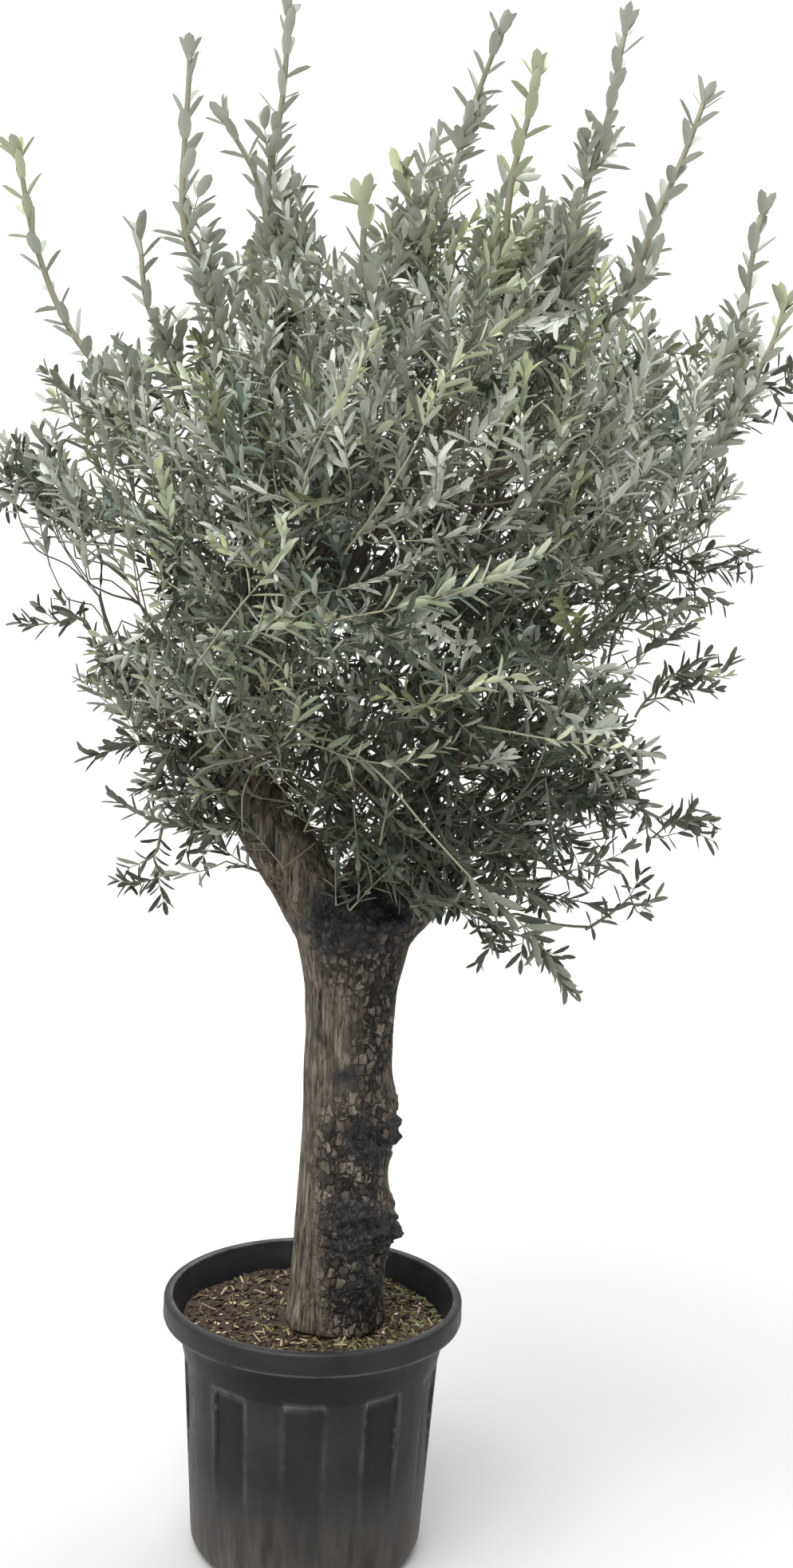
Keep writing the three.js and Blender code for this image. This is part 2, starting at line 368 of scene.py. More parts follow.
# Painted shade: the dark underside that goes with the darkest tint.
UNDER_DARK = LeafFinish("under_dark", (0.120, 0.130, 0.100), 0.65, 0.3)
UNDER_GREY = LeafFinish("under_grey", (0.215, 0.225, 0.175), 0.65, 0.3)
UNDER_SILVER = LeafFinish("under_silver", (0.40, 0.42, 0.36), 0.65, 0.3)
UNDER_PALE = LeafFinish("under_pale", (0.42, 0.45, 0.31), 0.65, 0.3)


class Tint(Enum):
    """Leaf tints: the upper side and the underside that go together. The darkest tint, with its dark underside, is
    painted shade for leaves deep in the crown and low down; the palest is painted light for the crown's top.
    """

    # Painted shade: a darker copy of the grey-green, dealt to shaded leaves.
    DEEP = (LeafFinish("leaf_deep", (0.052, 0.064, 0.044)), UNDER_DARK)
    GREY = (LeafFinish("leaf_grey", (0.138, 0.156, 0.117)), UNDER_GREY)
    BLUE = (LeafFinish("leaf_blue", (0.110, 0.146, 0.120)), UNDER_SILVER)
    MOSS = (LeafFinish("leaf_moss", (0.160, 0.188, 0.090)), UNDER_SILVER)
    ASH = (LeafFinish("leaf_ash", (0.305, 0.326, 0.274)), UNDER_SILVER)
    MIST = (LeafFinish("leaf_mist", (0.425, 0.450, 0.395)), UNDER_SILVER)
    # Painted light: a paler copy of the grey-green, dealt to the crown's top.
    FROST = (LeafFinish("leaf_frost", (0.580, 0.605, 0.535)), UNDER_SILVER)
    SAGE = (LeafFinish("leaf_sage", (0.275, 0.312, 0.206)), UNDER_PALE)
    YOUNG = (LeafFinish("leaf_young", (0.350, 0.385, 0.215)), UNDER_PALE)


@dataclass(frozen=True)
class TwigFinish:
    """Smooth young bark, one plain colour on all the twigs of a kind."""

    name: str
    color: Color
    roughness: float = 0.75

    def material(self) -> bpy.types.Material:
        """Return the finish as a material.

        Returns:
            The material.
        """
        material, _, shader = bare_material(self.name)
        shader.inputs["Base Color"].default_value = (*self.color, 1.0)
        shader.inputs["Roughness"].default_value = self.roughness
        return material


@dataclass(frozen=True)
class BarkFinish:
    """Old olive bark: grey-brown fibres, small cracked plates and near-black scabs."""

    name: str = "bark"
    fibre_dark: Color = (0.022, 0.017, 0.012)
    fibre_light: Color = (0.290, 0.245, 0.185)
    plate_dark: Color = (0.034, 0.027, 0.021)
    plate_light: Color = (0.300, 0.252, 0.208)
    scab_dark: Color = (0.004, 0.004, 0.005)
    scab_light: Color = (0.036, 0.035, 0.037)
    crack: Color = (0.006, 0.005, 0.004)
    plate_scale: float = 76.0

    def plates(self, wiring: Wiring) -> tuple[bpy.types.NodeSocket, bpy.types.NodeSocket]:
        """Add the cracked plates, and return their colour and their height.

        Args:
            wiring: the wiring of the material.

        Returns:
            The plates' colour and height sockets.
        """
        where = place_of(wiring, (1.0, 1.0, 0.72))
        warp = wiring.noise(where, 90.0, 3.0)
        shift = wiring.add("ShaderNodeVectorMath", operation="SCALE")
        shift.inputs["Scale"].default_value = 0.013
        wiring.join(warp.outputs["Color"], shift.inputs[0])
        moved = wiring.add("ShaderNodeVectorMath", operation="ADD")
        wiring.join(where, moved.inputs[0])
        wiring.join(shift.outputs["Vector"], moved.inputs[1])
        cells = wiring.add("ShaderNodeTexVoronoi", feature="F1", distance="CHEBYCHEV")
        rivals = wiring.add("ShaderNodeTexVoronoi", feature="F2", distance="CHEBYCHEV")
        for node in (cells, rivals):
            node.inputs["Scale"].default_value = self.plate_scale
            wiring.join(moved.outputs["Vector"], node.inputs["Vector"])
        pick = wiring.add("ShaderNodeSeparateColor")
        wiring.join(cells.outputs["Color"], pick.inputs["Color"])
        middle = tuple(0.62 * dark + 0.38 * light for dark, light in zip(self.plate_dark, self.plate_light))
        shade = wiring.ramp(pick.outputs["Red"], [(0.1, self.plate_dark), (0.45, middle), (1.0, self.plate_light)])
        edge = wiring.math("SUBTRACT", rivals.outputs["Distance"], cells.outputs["Distance"])
        gap = wiring.remap(edge, 0.02, 0.20)
        return wiring.blend(gap, self.crack, shade.outputs["Color"]), gap

    def material(self) -> bpy.types.Material:
        """Return the finish as a material that reads the wood's own attributes.

        Returns:
            The material.
        """
        material, wiring, shader = bare_material(self.name)
        plain = place_of(wiring)
        fibre = mottled(wiring, place_of(wiring, (1.0, 1.0, 0.075)), self.fibre_dark, self.fibre_light, 170.0, 0.36)
        broken = mottled(wiring, place_of(wiring, (1.0, 1.0, 0.6)), (0.30, 0.28, 0.26), (1.0, 1.0, 1.0), 46.0, 0.30)
        scab = mottled(wiring, plain, self.scab_dark, self.scab_light, 75.0, 0.34)
        plate_color, plate_height = self.plates(wiring)
        masks = {name: wiring.add("ShaderNodeAttribute", attribute_name=name).outputs["Fac"]
                 for name in ("plates", "scab", "crevice")}
        strands = wiring.noise(place_of(wiring, (1.0, 1.0, 0.05)), 105.0, 3.0)
        split = wiring.math("ABSOLUTE", wiring.math("SUBTRACT", strands.outputs["Fac"], 0.5), 0.0)
        splits = wiring.blend(wiring.remap(split, 0.004, 0.022), self.crack, fibre.outputs["Color"])
        skin = wiring.blend(masks["plates"], splits, plate_color)
        worn = wiring.add("ShaderNodeMix", data_type="RGBA", blend_type="MULTIPLY")
        worn.inputs["Factor"].default_value = 0.85
        wiring.join(skin, worn.inputs[6])
        wiring.join(broken.outputs["Color"], worn.inputs[7])
        scabby = wiring.blend(masks["scab"], worn.outputs[2], scab.outputs["Color"])
        color = wiring.blend(masks["crevice"], scabby, self.crack)
        wiring.join(color, shader.inputs["Base Color"])
        wiring.join(wiring.remap(masks["scab"], 0.0, 1.0, 0.85, 0.5), shader.inputs["Roughness"])
        shader.inputs["Specular IOR Level"].default_value = 0.35
        raised = wiring.math("MULTIPLY", plate_height, masks["plates"])
        height = wiring.math("ADD", wiring.math("ADD", fibre.outputs["Height"], scab.outputs["Height"]), raised)
        bump(wiring, shader, height, 0.85, 0.0032)
        return material


@dataclass(frozen=True)
class PlasticFinish:
    """Moulded black plastic with dried dust on its foot, painted highlights with some scuffed wear along its edges,
    and painted shade in its sunk panels and on the collar under the rim.
    """

    name: str = "pot_plastic"
    black: Color = (0.0065, 0.0070, 0.0088)
    worn: Color = (0.0280, 0.0272, 0.0270)
    # Painted highlight colour for the pot's edges, with some scuffed wear.
    edge: Color = (0.120, 0.122, 0.125)
    dust: Color = (0.100, 0.086, 0.072)
    dust_top: float = 0.19

    def material(self) -> bpy.types.Material:
        """Return the finish as a material that reads the pot's painted highlight and painted shade attributes.

        Returns:
            The material.
        """
        material, wiring, shader = bare_material(self.name)
        plain = place_of(wiring)
        skin = mottled(wiring, plain, self.black, self.worn, 7.0, 0.5)
        streaks = mottled(wiring, place_of(wiring, (1.0, 1.0, 0.14)), (0.0, 0.0, 0.0), (1.0, 1.0, 1.0), 42.0, 0.3)
        scuffs = wiring.noise(plain, 24.0, 4.0)
        split = wiring.add("ShaderNodeSeparateXYZ")
        wiring.join(plain, split.inputs["Vector"])
        low = wiring.remap(split.outputs["Z"], self.dust_top, 0.0)
        dusty = wiring.math("MULTIPLY", low, wiring.remap(streaks.outputs["Mask"], 0.0, 1.0, 0.15, 1.0))
        dusted = wiring.blend(dusty, skin.outputs["Color"], self.dust)
        # Painted shade: the sunk panels and the collar under the rim turn the plain black.
        sunk = wiring.add("ShaderNodeAttribute", attribute_name="sunk")
        shaded = wiring.blend(sunk.outputs["Fac"], dusted, self.black)
        # Painted highlights along the edges, broken up by scuff noise.
        rubbed = wiring.add("ShaderNodeAttribute", attribute_name="rubbed")
        patchy = wiring.math("MULTIPLY", rubbed.outputs["Fac"], wiring.remap(scuffs.outputs["Fac"], 0.30, 0.60))
        color = wiring.blend(patchy, shaded, self.edge)
        wiring.join(color, shader.inputs["Base Color"])
        wiring.join(wiring.remap(streaks.outputs["Height"], 0.3, 0.7, 0.40, 0.56), shader.inputs["Roughness"])
        shader.inputs["Specular IOR Level"].default_value = 0.22
        bump(wiring, shader, streaks.outputs["Height"], 0.10, 0.002)
        return material


@dataclass(frozen=True)
class EarthFinish:
    """Moist crumbly potting soil."""

    name: str = "soil_earth"
    dark: Color = (0.010, 0.007, 0.005)
    light: Color = (0.052, 0.033, 0.020)

    def material(self) -> bpy.types.Material:
        """Return the finish as a material.

        Returns:
            The material.
        """
        material, wiring, shader = bare_material(self.name)
        crumbs = mottled(wiring, place_of(wiring), self.dark, self.light, 110.0, 0.4)
        wiring.join(crumbs.outputs["Color"], shader.inputs["Base Color"])
        shader.inputs["Roughness"].default_value = 0.95
        bump(wiring, shader, crumbs.outputs["Height"], 0.9, 0.006)
        return material


# ---- Mesh helpers -----------------------------------------------------------


def settle(piece: bpy.types.Object, slot: str, *nodes: str) -> bpy.types.Object:
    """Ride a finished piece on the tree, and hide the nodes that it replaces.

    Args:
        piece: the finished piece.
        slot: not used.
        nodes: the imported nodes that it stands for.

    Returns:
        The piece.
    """
    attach(piece, BODY)
    if nodes:
        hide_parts(*nodes)
    LOG.info("%s: %d faces", piece.name, len(piece.data.polygons))
    return piece


def clear_selection() -> None:
    """Deselect everything, so that an operator acts only on what is chosen next."""
    if bpy.context.mode != "OBJECT":
        bpy.ops.object.mode_set(mode="OBJECT")
    bpy.ops.object.select_all(action="DESELECT")


def choose(piece: bpy.types.Object) -> None:
    """Make one object the only one selected, and the active one.

    Args:
        piece: the object to choose.
    """
    clear_selection()
    piece.select_set(True)
    bpy.context.view_layer.objects.active = piece


def name_piece(name: str) -> bpy.types.Object:
    """Name the object that an operator has just added, and its mesh.

    Args:
        name: the name to give.

    Returns:
        The named object.
    """
    piece = bpy.context.object
    piece.name = name
    piece.data.name = name
    return piece


def mesh_from_arrays(name: str, points: Array, faces: list[Array], material_of: list[Array] | None = None,
                     ) -> bpy.types.Object:
    """Make one joined mesh from arrays of points and faces.

    Args:
        name: the piece's name.
        points: every point, one row each.
        faces: blocks of faces, each block an array with one row of point numbers a face.
        material_of: the material number of each face, in blocks like faces.

    Returns:
        The new object, in the scene.
    """
    mesh = bpy.data.meshes.new(name)
    corners = np.concatenate([block.ravel() for block in faces])
    sizes = np.concatenate([np.full(len(block), block.shape[1]) for block in faces])
    starts = np.concatenate([[0], np.cumsum(sizes)[:-1]])
    mesh.vertices.add(len(points))
    mesh.vertices.foreach_set("co", points.astype(np.float32).ravel())
    mesh.loops.add(len(corners))
    mesh.loops.foreach_set("vertex_index", corners.astype(np.int32))
    mesh.polygons.add(len(sizes))
    mesh.polygons.foreach_set("loop_start", starts.astype(np.int32))
    mesh.polygons.foreach_set("loop_total", sizes.astype(np.int32))
    if material_of is not None:
        mesh.polygons.foreach_set("material_index", np.concatenate(material_of).astype(np.int32))
    mesh.update(calc_edges=True)
    piece = bpy.data.objects.new(name, mesh)
    bpy.context.scene.collection.objects.link(piece)
    return piece


def unit(vectors: Array) -> Array:
    """Scale each row to length one."""
    return vectors / np.maximum(np.linalg.norm(vectors, axis=-1, keepdims=True), 1e-9)


# ---- Pot --------------------------------------------------------------------


@dataclass
class Pot:
    """A black nursery pot: a fluted tub, a smooth collar and a rolled rim."""

    segments: int = 240
    panels: int = 10
    panel_depth: float = 4.5 * MM
    panel_border: float = 4.0 * MM
    panel_foot: float = 115.0 * MM
    panel_fade: float = 130.0 * MM
    wall: float = 4.5 * MM
    hidden_wall: float = 15.0 * MM
    base_radius: float = 195.0 * MM
    corner: float = 28.0 * MM
    shoulder_radius: float = 213.0 * MM
    collar_foot: float = 332.0 * MM
    collar_radius: float = 224.0 * MM
    rim_band: float = 38.0 * MM
    lip: float = 16.0 * MM
    finish: PlasticFinish = field(default_factory=PlasticFinish)

    def outline(self) -> list[tuple[float, float]]:
        """Return the pot's section as (radius, height), from its foot over the rim to its floor.

        Returns:
            The points of the section, in metres.
        """
        _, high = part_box("pot")
        rim, top = high.x, high.z
        points = []
        for step in range(7):
            turn = math.pi / 2 * step / 6
            points.append((self.base_radius - self.corner * (1 - math.sin(turn)), self.corner * (1 - math.cos(turn))))
        rows = 22
        for row in range(1, rows + 1):
            part = row / rows
            radius = self.base_radius + (self.shoulder_radius - self.base_radius) * part
            points.append((radius, self.corner + (self.collar_foot - self.corner) * part))
        band = top - self.rim_band
        points += [
            (self.shoulder_radius + 0.4 * MM, self.collar_foot + 2.0 * MM),
            (self.shoulder_radius + 2.0 * MM, self.collar_foot + 9.0 * MM),
            (self.collar_radius - 2.6 * MM, band - 30.0 * MM),
            (self.collar_radius, band - 14.0 * MM),
            (self.collar_radius + 2.0 * MM, band - 11.0 * MM),
            (rim - 5.0 * MM, band - 2.0 * MM),
            (rim - 1.5 * MM, band + 1.0 * MM),
            (rim, band + 5.0 * MM),
        ]
        for step in range(6):
            turn = math.pi / 2 * step / 5
            points.append((rim - 7.0 * MM * (1 - math.cos(turn)) - 0.5 * MM, top - 7.0 * MM * (1 - math.sin(turn))))
        inner = rim - self.lip
        for step in range(1, 5):
            turn = math.pi / 2 * step / 4
            points.append((inner + 4.0 * MM * (1 - math.sin(turn)), top - 4.0 * MM * (1 - math.cos(turn))))
        points += [
            (inner - 1.0 * MM, top - 22.0 * MM),
            (self.collar_radius - self.wall, band - 4.0 * MM),
            (self.collar_radius - 1.2 * self.wall, band - 26.0 * MM),
            (self.shoulder_radius - self.hidden_wall, self.collar_foot - self.hidden_wall),
            (self.base_radius - self.hidden_wall, self.corner),
            (self.base_radius - self.corner, self.hidden_wall),
        ]
        return points

    def tub(self) -> bpy.types.Object:
        """Raise the pot ring by ring from a disc, and close it at its floor.

        Returns:
            The closed tub, before its panels are pressed in.
        """
        points = self.outline()
        clear_selection()
        radius, level = points[0]
        bpy.ops.mesh.primitive_circle_add(
            vertices=self.segments, radius=radius, fill_type="NGON", location=(0.0, 0.0, level),
            rotation=(0.0, 0.0, math.pi / self.segments))
        tub = name_piece("pot_tub")
        bpy.ops.object.transform_apply(location=True, rotation=True, scale=True)
        bpy.ops.object.mode_set(mode="EDIT")
        bpy.ops.mesh.select_mode(type="EDGE")
        bpy.ops.mesh.select_all(action="DESELECT")
        bpy.ops.mesh.select_non_manifold()
        for (was, _), (now, height) in zip(points, points[1:]):
            bpy.ops.mesh.extrude_edges_move(TRANSFORM_OT_translate={"value": (0.0, 0.0, height - level)})
            bpy.ops.transform.resize(value=(now / was, now / was, 1.0), center_override=(0.0, 0.0, height))
            level = height
        bpy.ops.mesh.edge_face_add()
        bpy.ops.mesh.select_all(action="SELECT")
        bpy.ops.mesh.normals_make_consistent(inside=False)
        bpy.ops.object.mode_set(mode="OBJECT")
        return tub

    def from_panel(self, x: float, y: float) -> float:
        """Return the angle from a place on the tub to the middle of the nearest sunk panel.

        Args:
            x: the place to the right of the axis.
            y: the place behind the axis.

        Returns:
            The angle in radians.
        """
        pitch = 2 * math.pi / self.panels
        return abs((math.atan2(x, -y) + pitch / 2) % pitch - pitch / 2)

    def front(self, x: float, y: float) -> float:
        """Return how near a place on the tub is to its front panel, which is worn almost flat."""
        return math.exp(-((math.atan2(x, -y) / math.radians(14)) ** 2))

    def press_panels(self, tub: bpy.types.Object) -> None:
        """Press the sunk panels into the tub's side, deepest under the collar and fading to the foot.

        Args:
            tub: the plain tub.
        """
        pitch = 2 * math.pi / self.panels
        low, high = self.corner + 14.0 * MM, self.collar_foot - 4.0 * MM
        choose(tub)
        bpy.ops.object.mode_set(mode="EDIT")
        bpy.ops.mesh.select_mode(type="FACE")
        bpy.ops.mesh.select_all(action="DESELECT")
        bpy.ops.object.mode_set(mode="OBJECT")
        for face in tub.data.polygons:
            x, y, z = face.center
            outside = face.normal.x * x + face.normal.y * y > 0
            face.select = outside and low < z < high and self.from_panel(x, y) < pitch / 4
        bpy.ops.object.mode_set(mode="EDIT")
        bpy.ops.mesh.inset(thickness=self.panel_border, depth=-self.panel_depth, use_boundary=True)
        bpy.ops.mesh.select_all(action="DESELECT")
        bpy.ops.object.mode_set(mode="OBJECT")
        slope = (self.shoulder_radius - self.base_radius) / (self.collar_foot - self.corner)
        for vertex in tub.data.vertices:
            x, y, z = vertex.co
            radius = math.hypot(x, y)
            full = self.base_radius + slope * (z - self.corner)
            sunk = full - radius
            if low - MM < z < high + MM and 0.3 * MM < sunk < self.panel_depth * 1.6:
                fade = min(1.0, max(0.0, (z - self.panel_foot) / self.panel_fade))
                fade *= 1.0 - 0.8 * self.front(x, y)
                scale = (full - sunk * fade) / radius
                vertex.co.x, vertex.co.y = x * scale, y * scale

    def paint_highlights_and_shade(self, tub: bpy.types.Object) -> None:
        """Work out where the pot gets painted highlights, with some scuffed wear, on the rim's lip, under the rim
        band, at the collar's foot and along the panel edges, and where it gets painted shade: in the sunk panels and
        on the collar under the rim.

        Args:
            tub: the tub with its panels.
        """
        _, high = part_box("pot")
        pitch = 2 * math.pi / self.panels
        band = high.z - self.rim_band
        rubbed, shade = [], []
        for vertex in tub.data.vertices:
            x, y, z = vertex.co
            radius = math.hypot(x, y)
            sunk = self.from_panel(x, y) < pitch / 4
            lip = math.exp(-((radius - high.x + self.lip) ** 2 + (z - high.z) ** 2) / (3.0 * MM) ** 2)
            under = math.exp(-((z - band) / (2.5 * MM)) ** 2) * (radius > self.collar_radius) * 0.8
            collar = math.exp(-((z - self.collar_foot + 1.0 * MM) / (3.2 * MM)) ** 2)
            side = abs(self.from_panel(x, y) - pitch / 4) * radius
            panel = math.exp(-(side / (2.6 * MM)) ** 2) * (self.panel_foot < z < self.collar_foot)
            fade = min(1.0, max(0.0, (z - self.panel_foot) / self.panel_fade))
            front = self.front(x, y)
            outside = radius > self.base_radius - 3.0 * MM
            # Painted highlight lines, with some scuffed wear, on the lip, under the rim band, at the collar's foot
            # and along the panel edges.
            rubbed.append(max(lip, (under + collar * sunk + panel * fade * (1.0 - front)) * outside))
            # Painted shade: darker in the sunk panels as they deepen, and on the collar under the rim.
            dark = float(sunk and self.corner < z < self.collar_foot) * fade * (1.0 - 0.6 * front)
            shade.append(outside * max(dark, 0.75 * (self.collar_foot < z < band)))
        for name, values in (("rubbed", rubbed), ("sunk", shade)):
            layer = tub.data.attributes.new(name, "FLOAT", "POINT")
            layer.data.foreach_set("value", values)

    def build(self) -> None:
        """Build and dress the pot."""
        tub = self.tub()
        self.press_panels(tub)
        self.paint_highlights_and_shade(tub)
        choose(tub)
        bpy.ops.object.shade_smooth_by_angle(angle=math.radians(34))
        tub.data.materials.append(self.finish.material())
        settle(tub, "pot", "pot")


# ---- Soil -------------------------------------------------------------------


@dataclass(frozen=True)
class Litter:
    """One kind of loose bits that lie on the soil."""

    name: str
    color: Color
    count: int
    length: tuple[float, float]
    slimness: float
    lift: float


LITTER = (
    Litter("litter_straw", (0.34, 0.27, 0.15), 250, (12 * MM, 40 * MM), 0.17, 0.3),
    Litter("litter_ochre", (0.085, 0.062, 0.030), 520, (9 * MM, 26 * MM), 0.26, 0.35),
    Litter("litter_bark", (0.036, 0.018, 0.011), 900, (9 * MM, 22 * MM), 0.45, 0.4),
    Litter("litter_pale", (0.52, 0.46, 0.34), 90, (7 * MM, 14 * MM), 0.5, 0.3),
    Litter("litter_moss", (0.135, 0.145, 0.048), 560, (8 * MM, 24 * MM), 0.3, 0.5),
)


@dataclass
class Soil:
    """The soil's uneven top and the litter on it."""

    rings: int = 26
    segments: int = 112
    depth: float = 20.0 * MM
    swell: float = 7.0 * MM
    margin: float = 5.0 * MM
    finish: EarthFinish = field(default_factory=EarthFinish)

    def height(self, x: float, y: float) -> float:
        """Return how far the soil's top stands above its mean level at a place.

        Args:
            x: the place to the right of the axis.
            y: the place behind the axis.

        Returns:
            The height in metres.
        """
        broad = noise.noise(Vector((x * 14.0, y * 14.0, 0.3)))
        fine = noise.noise(Vector((x * 75.0, y * 75.0, 4.1)))
        return self.swell * (broad + 0.45 * fine)

    def bed(self) -> bpy.types.Object:
        """Make the bed: a low drum whose top is drawn in ring by ring and made uneven.

        Returns:
            The dressed bed.
        """
        low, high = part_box("soil")
        radius, top = high.x, high.z
        clear_selection()
        bpy.ops.mesh.primitive_circle_add(
            vertices=self.segments, radius=radius, fill_type="NGON", location=(0.0, 0.0, top - self.depth))
        bed = name_piece("soil_bed")
        bpy.ops.object.transform_apply(location=True, rotation=True, scale=True)
        bpy.ops.object.mode_set(mode="EDIT")
        bpy.ops.mesh.select_all(action="SELECT")
        bpy.ops.mesh.extrude_region_move(TRANSFORM_OT_translate={"value": (0.0, 0.0, self.depth)})
        for ring in range(self.rings, 1, -1):
            bpy.ops.mesh.extrude_region_move(TRANSFORM_OT_translate={"value": (0.0, 0.0, 0.0)})
            shrink = (ring - 1) / ring
            bpy.ops.transform.resize(value=(shrink, shrink, 1.0), center_override=(0.0, 0.0, top))
        bpy.ops.mesh.select_all(action="SELECT")
        bpy.ops.mesh.normals_make_consistent(inside=False)
        bpy.ops.object.mode_set(mode="OBJECT")
        for vertex in bed.data.vertices:
            if vertex.co.z > top - 1.0 * MM:
                vertex.co.z += self.height(vertex.co.x, vertex.co.y)
        choose(bed)
        bpy.ops.object.shade_smooth()
        bed.data.materials.append(self.finish.material())
        return bed

    def scatter(self, litter: Litter, random: np.random.Generator) -> bpy.types.Object:
        """Scatter one kind of litter: small bent slips, each closed.

        Args:
            litter: the kind.
            random: the seeded source of chance.

        Returns:
            All the bits of the kind as one piece.
        """
        _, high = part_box("soil")
        count = litter.count
        reach = (high.x - self.margin) * np.sqrt(random.uniform(0.08, 1.0, count))
        bearing = random.uniform(0.0, 2 * np.pi, count)
        if litter.name == "litter_moss":
            bearing = np.where(random.random(count) < 0.7, random.uniform(-1.5, 0.9, count), bearing)
        x, y = reach * np.cos(bearing), reach * np.sin(bearing)
        ground = np.array([self.height(px, py) for px, py in zip(x, y)])
        middle = np.stack([x, y, high.z + ground + 1.2 * MM], axis=1)
        yaw = random.uniform(0.0, 2 * np.pi, count)
        tilt = random.normal(0.0, litter.lift, count)
        along = np.stack([np.cos(yaw) * np.cos(tilt), np.sin(yaw) * np.cos(tilt), np.abs(np.sin(tilt))], axis=1)
        across = unit(np.cross(along, random.normal(0.0, 0.35, (count, 3)) + [0.0, 0.0, 1.0]))
        up = np.cross(across, along)
        length = random.uniform(*litter.length, count)
        blade = LeafBlade(width_rows=(0.8, 1.0, 0.7), thickness=0.14)
        points = blade.points(middle - along * length[:, None] / 2, along, up, length,
                              length * litter.slimness, random.normal(0.0, 0.1, count), 0.1)
        faces, _ = blade.faces(count)
        piece = mesh_from_arrays(litter.name, points.reshape(-1, 3), [faces])
        piece.data.materials.append(TwigFinish(litter.name, litter.color, 0.9).material())
        return piece

    def build(self, random: np.random.Generator) -> None:
        """Build and dress the soil and its litter.

        Args:
            random: the seeded source of chance.
        """
        settle(self.bed(), "soil", "soil")
        for litter in LITTER:
            settle(self.scatter(litter, random), "soil")


# ---- Leaves -----------------------------------------------------------------


@dataclass(frozen=True)
class LeafBlade:
    """A closed leaf blade of a few faces: a lance-shaped outline, folded along its midrib.

    Points of one blade: base, tip, then left, right, top and bottom at each row.
    """

    rows: tuple[float, ...] = (0.20, 0.52, 0.84)
    width_rows: tuple[float, ...] = (0.70, 1.0, 0.74)
    thickness: float = 0.045
    leaf_fold: float = 0.42

    @property
    def size(self) -> int:
        """How many points a blade has."""
        return 2 + 4 * len(self.rows)

    def points(self, base: Array, along: Array, up: Array, length: Array, width: Array,
               bend: Array, fold: float) -> Array:
        """Work out the points of many blades at once.

        Args:
            base: where each blade springs from.
            along: the way each points, of length one.
            up: the way each faces, of length one.
            length: each blade's length.
            width: each blade's full width.
            bend: how far each tip drops below a straight blade, as a part of its length.
            fold: how far the edges stand above the midrib, as a part of the half width.

        Returns:
            An array of blades by points by three.
        """
        side = np.cross(up, along)
        reach = np.array([0.0, 1.0] + [row for row in self.rows for _ in range(4)])
        spread = np.array([0.0, 0.0] + [part * sign for part in self.width_rows for sign in (1, -1, 0, 0)])
        thick = np.array([0.0, 0.0] + [part * sign for part in self.width_rows for sign in (0, 0, 0.6, -1)])
        half = width[:, None] / 2
        rise = (fold * np.abs(spread) + self.thickness * 2 * thick) * half
        rise = rise - bend[:, None] * length[:, None] * reach ** 2
        return (base[:, None, :]
                + along[:, None, :] * (reach * length[:, None])[..., None]
                + side[:, None, :] * (spread * half)[..., None]
                + up[:, None, :] * rise[..., None])

    def template(self) -> tuple[list[tuple[int, int, int]], list[int]]:
        """Return one blade's triangles, and for each 0 if it's on the upper side and 1 below.

        Returns:
            The triangles, and each one's side.
        """
        last = len(self.rows) - 1

        def at(row: int, part: int) -> int:
            return 2 + 4 * row + part

        faces: list[tuple[int, int, int]] = []
        for rib in (2, 3):
            sheet: list[tuple[int, int, int]] = [
                (0, at(0, rib), at(0, 0)), (0, at(0, 1), at(0, rib)),
                (at(last, rib), 1, at(last, 0)), (at(last, 1), 1, at(last, rib)),
            ]
            for row in range(last):
                sheet += [
                    (at(row, rib), at(row + 1, rib), at(row + 1, 0)), (at(row, rib), at(row + 1, 0), at(row, 0)),
                    (at(row, 1), at(row + 1, 1), at(row + 1, rib)), (at(row, 1), at(row + 1, rib), at(row, rib)),
                ]
            faces += sheet if rib == 2 else [(a, c, b) for a, b, c in sheet]
        half = len(faces) // 2
        return faces, [0] * half + [1] * half

    def faces(self, count: int) -> tuple[Array, Array]:
        """Return the triangles of many blades, and which side of its blade each is on.

        Args:
            count: how many blades there are.

        Returns:
            All the triangles, and each one's side.
        """
        faces, sides = self.template()
        block = np.array(faces)[None] + (np.arange(count) * self.size)[:, None, None]
        return block.reshape(-1, 3), np.tile(sides, count)

    def outline_edges(self, edges: Array) -> Array:
        """Say which edges lie on a blade's outline, so that its two sides shade apart.

        Args:
            edges: the two point numbers of each edge.

        Returns:
            True for each edge on an outline.
        """
        local = edges % self.size
        part = np.where(local < 2, 0, (local - 2) % 4)
        on_rim = (local < 2) | (part < 2)
        return on_rim.all(axis=1) & ~((part[:, 0] != part[:, 1]) & (local >= 2).all(axis=1))


FULL_BLADE = LeafBlade()
PLAIN_BLADE = LeafBlade(rows=(0.30, 0.72), width_rows=(0.94, 0.94))


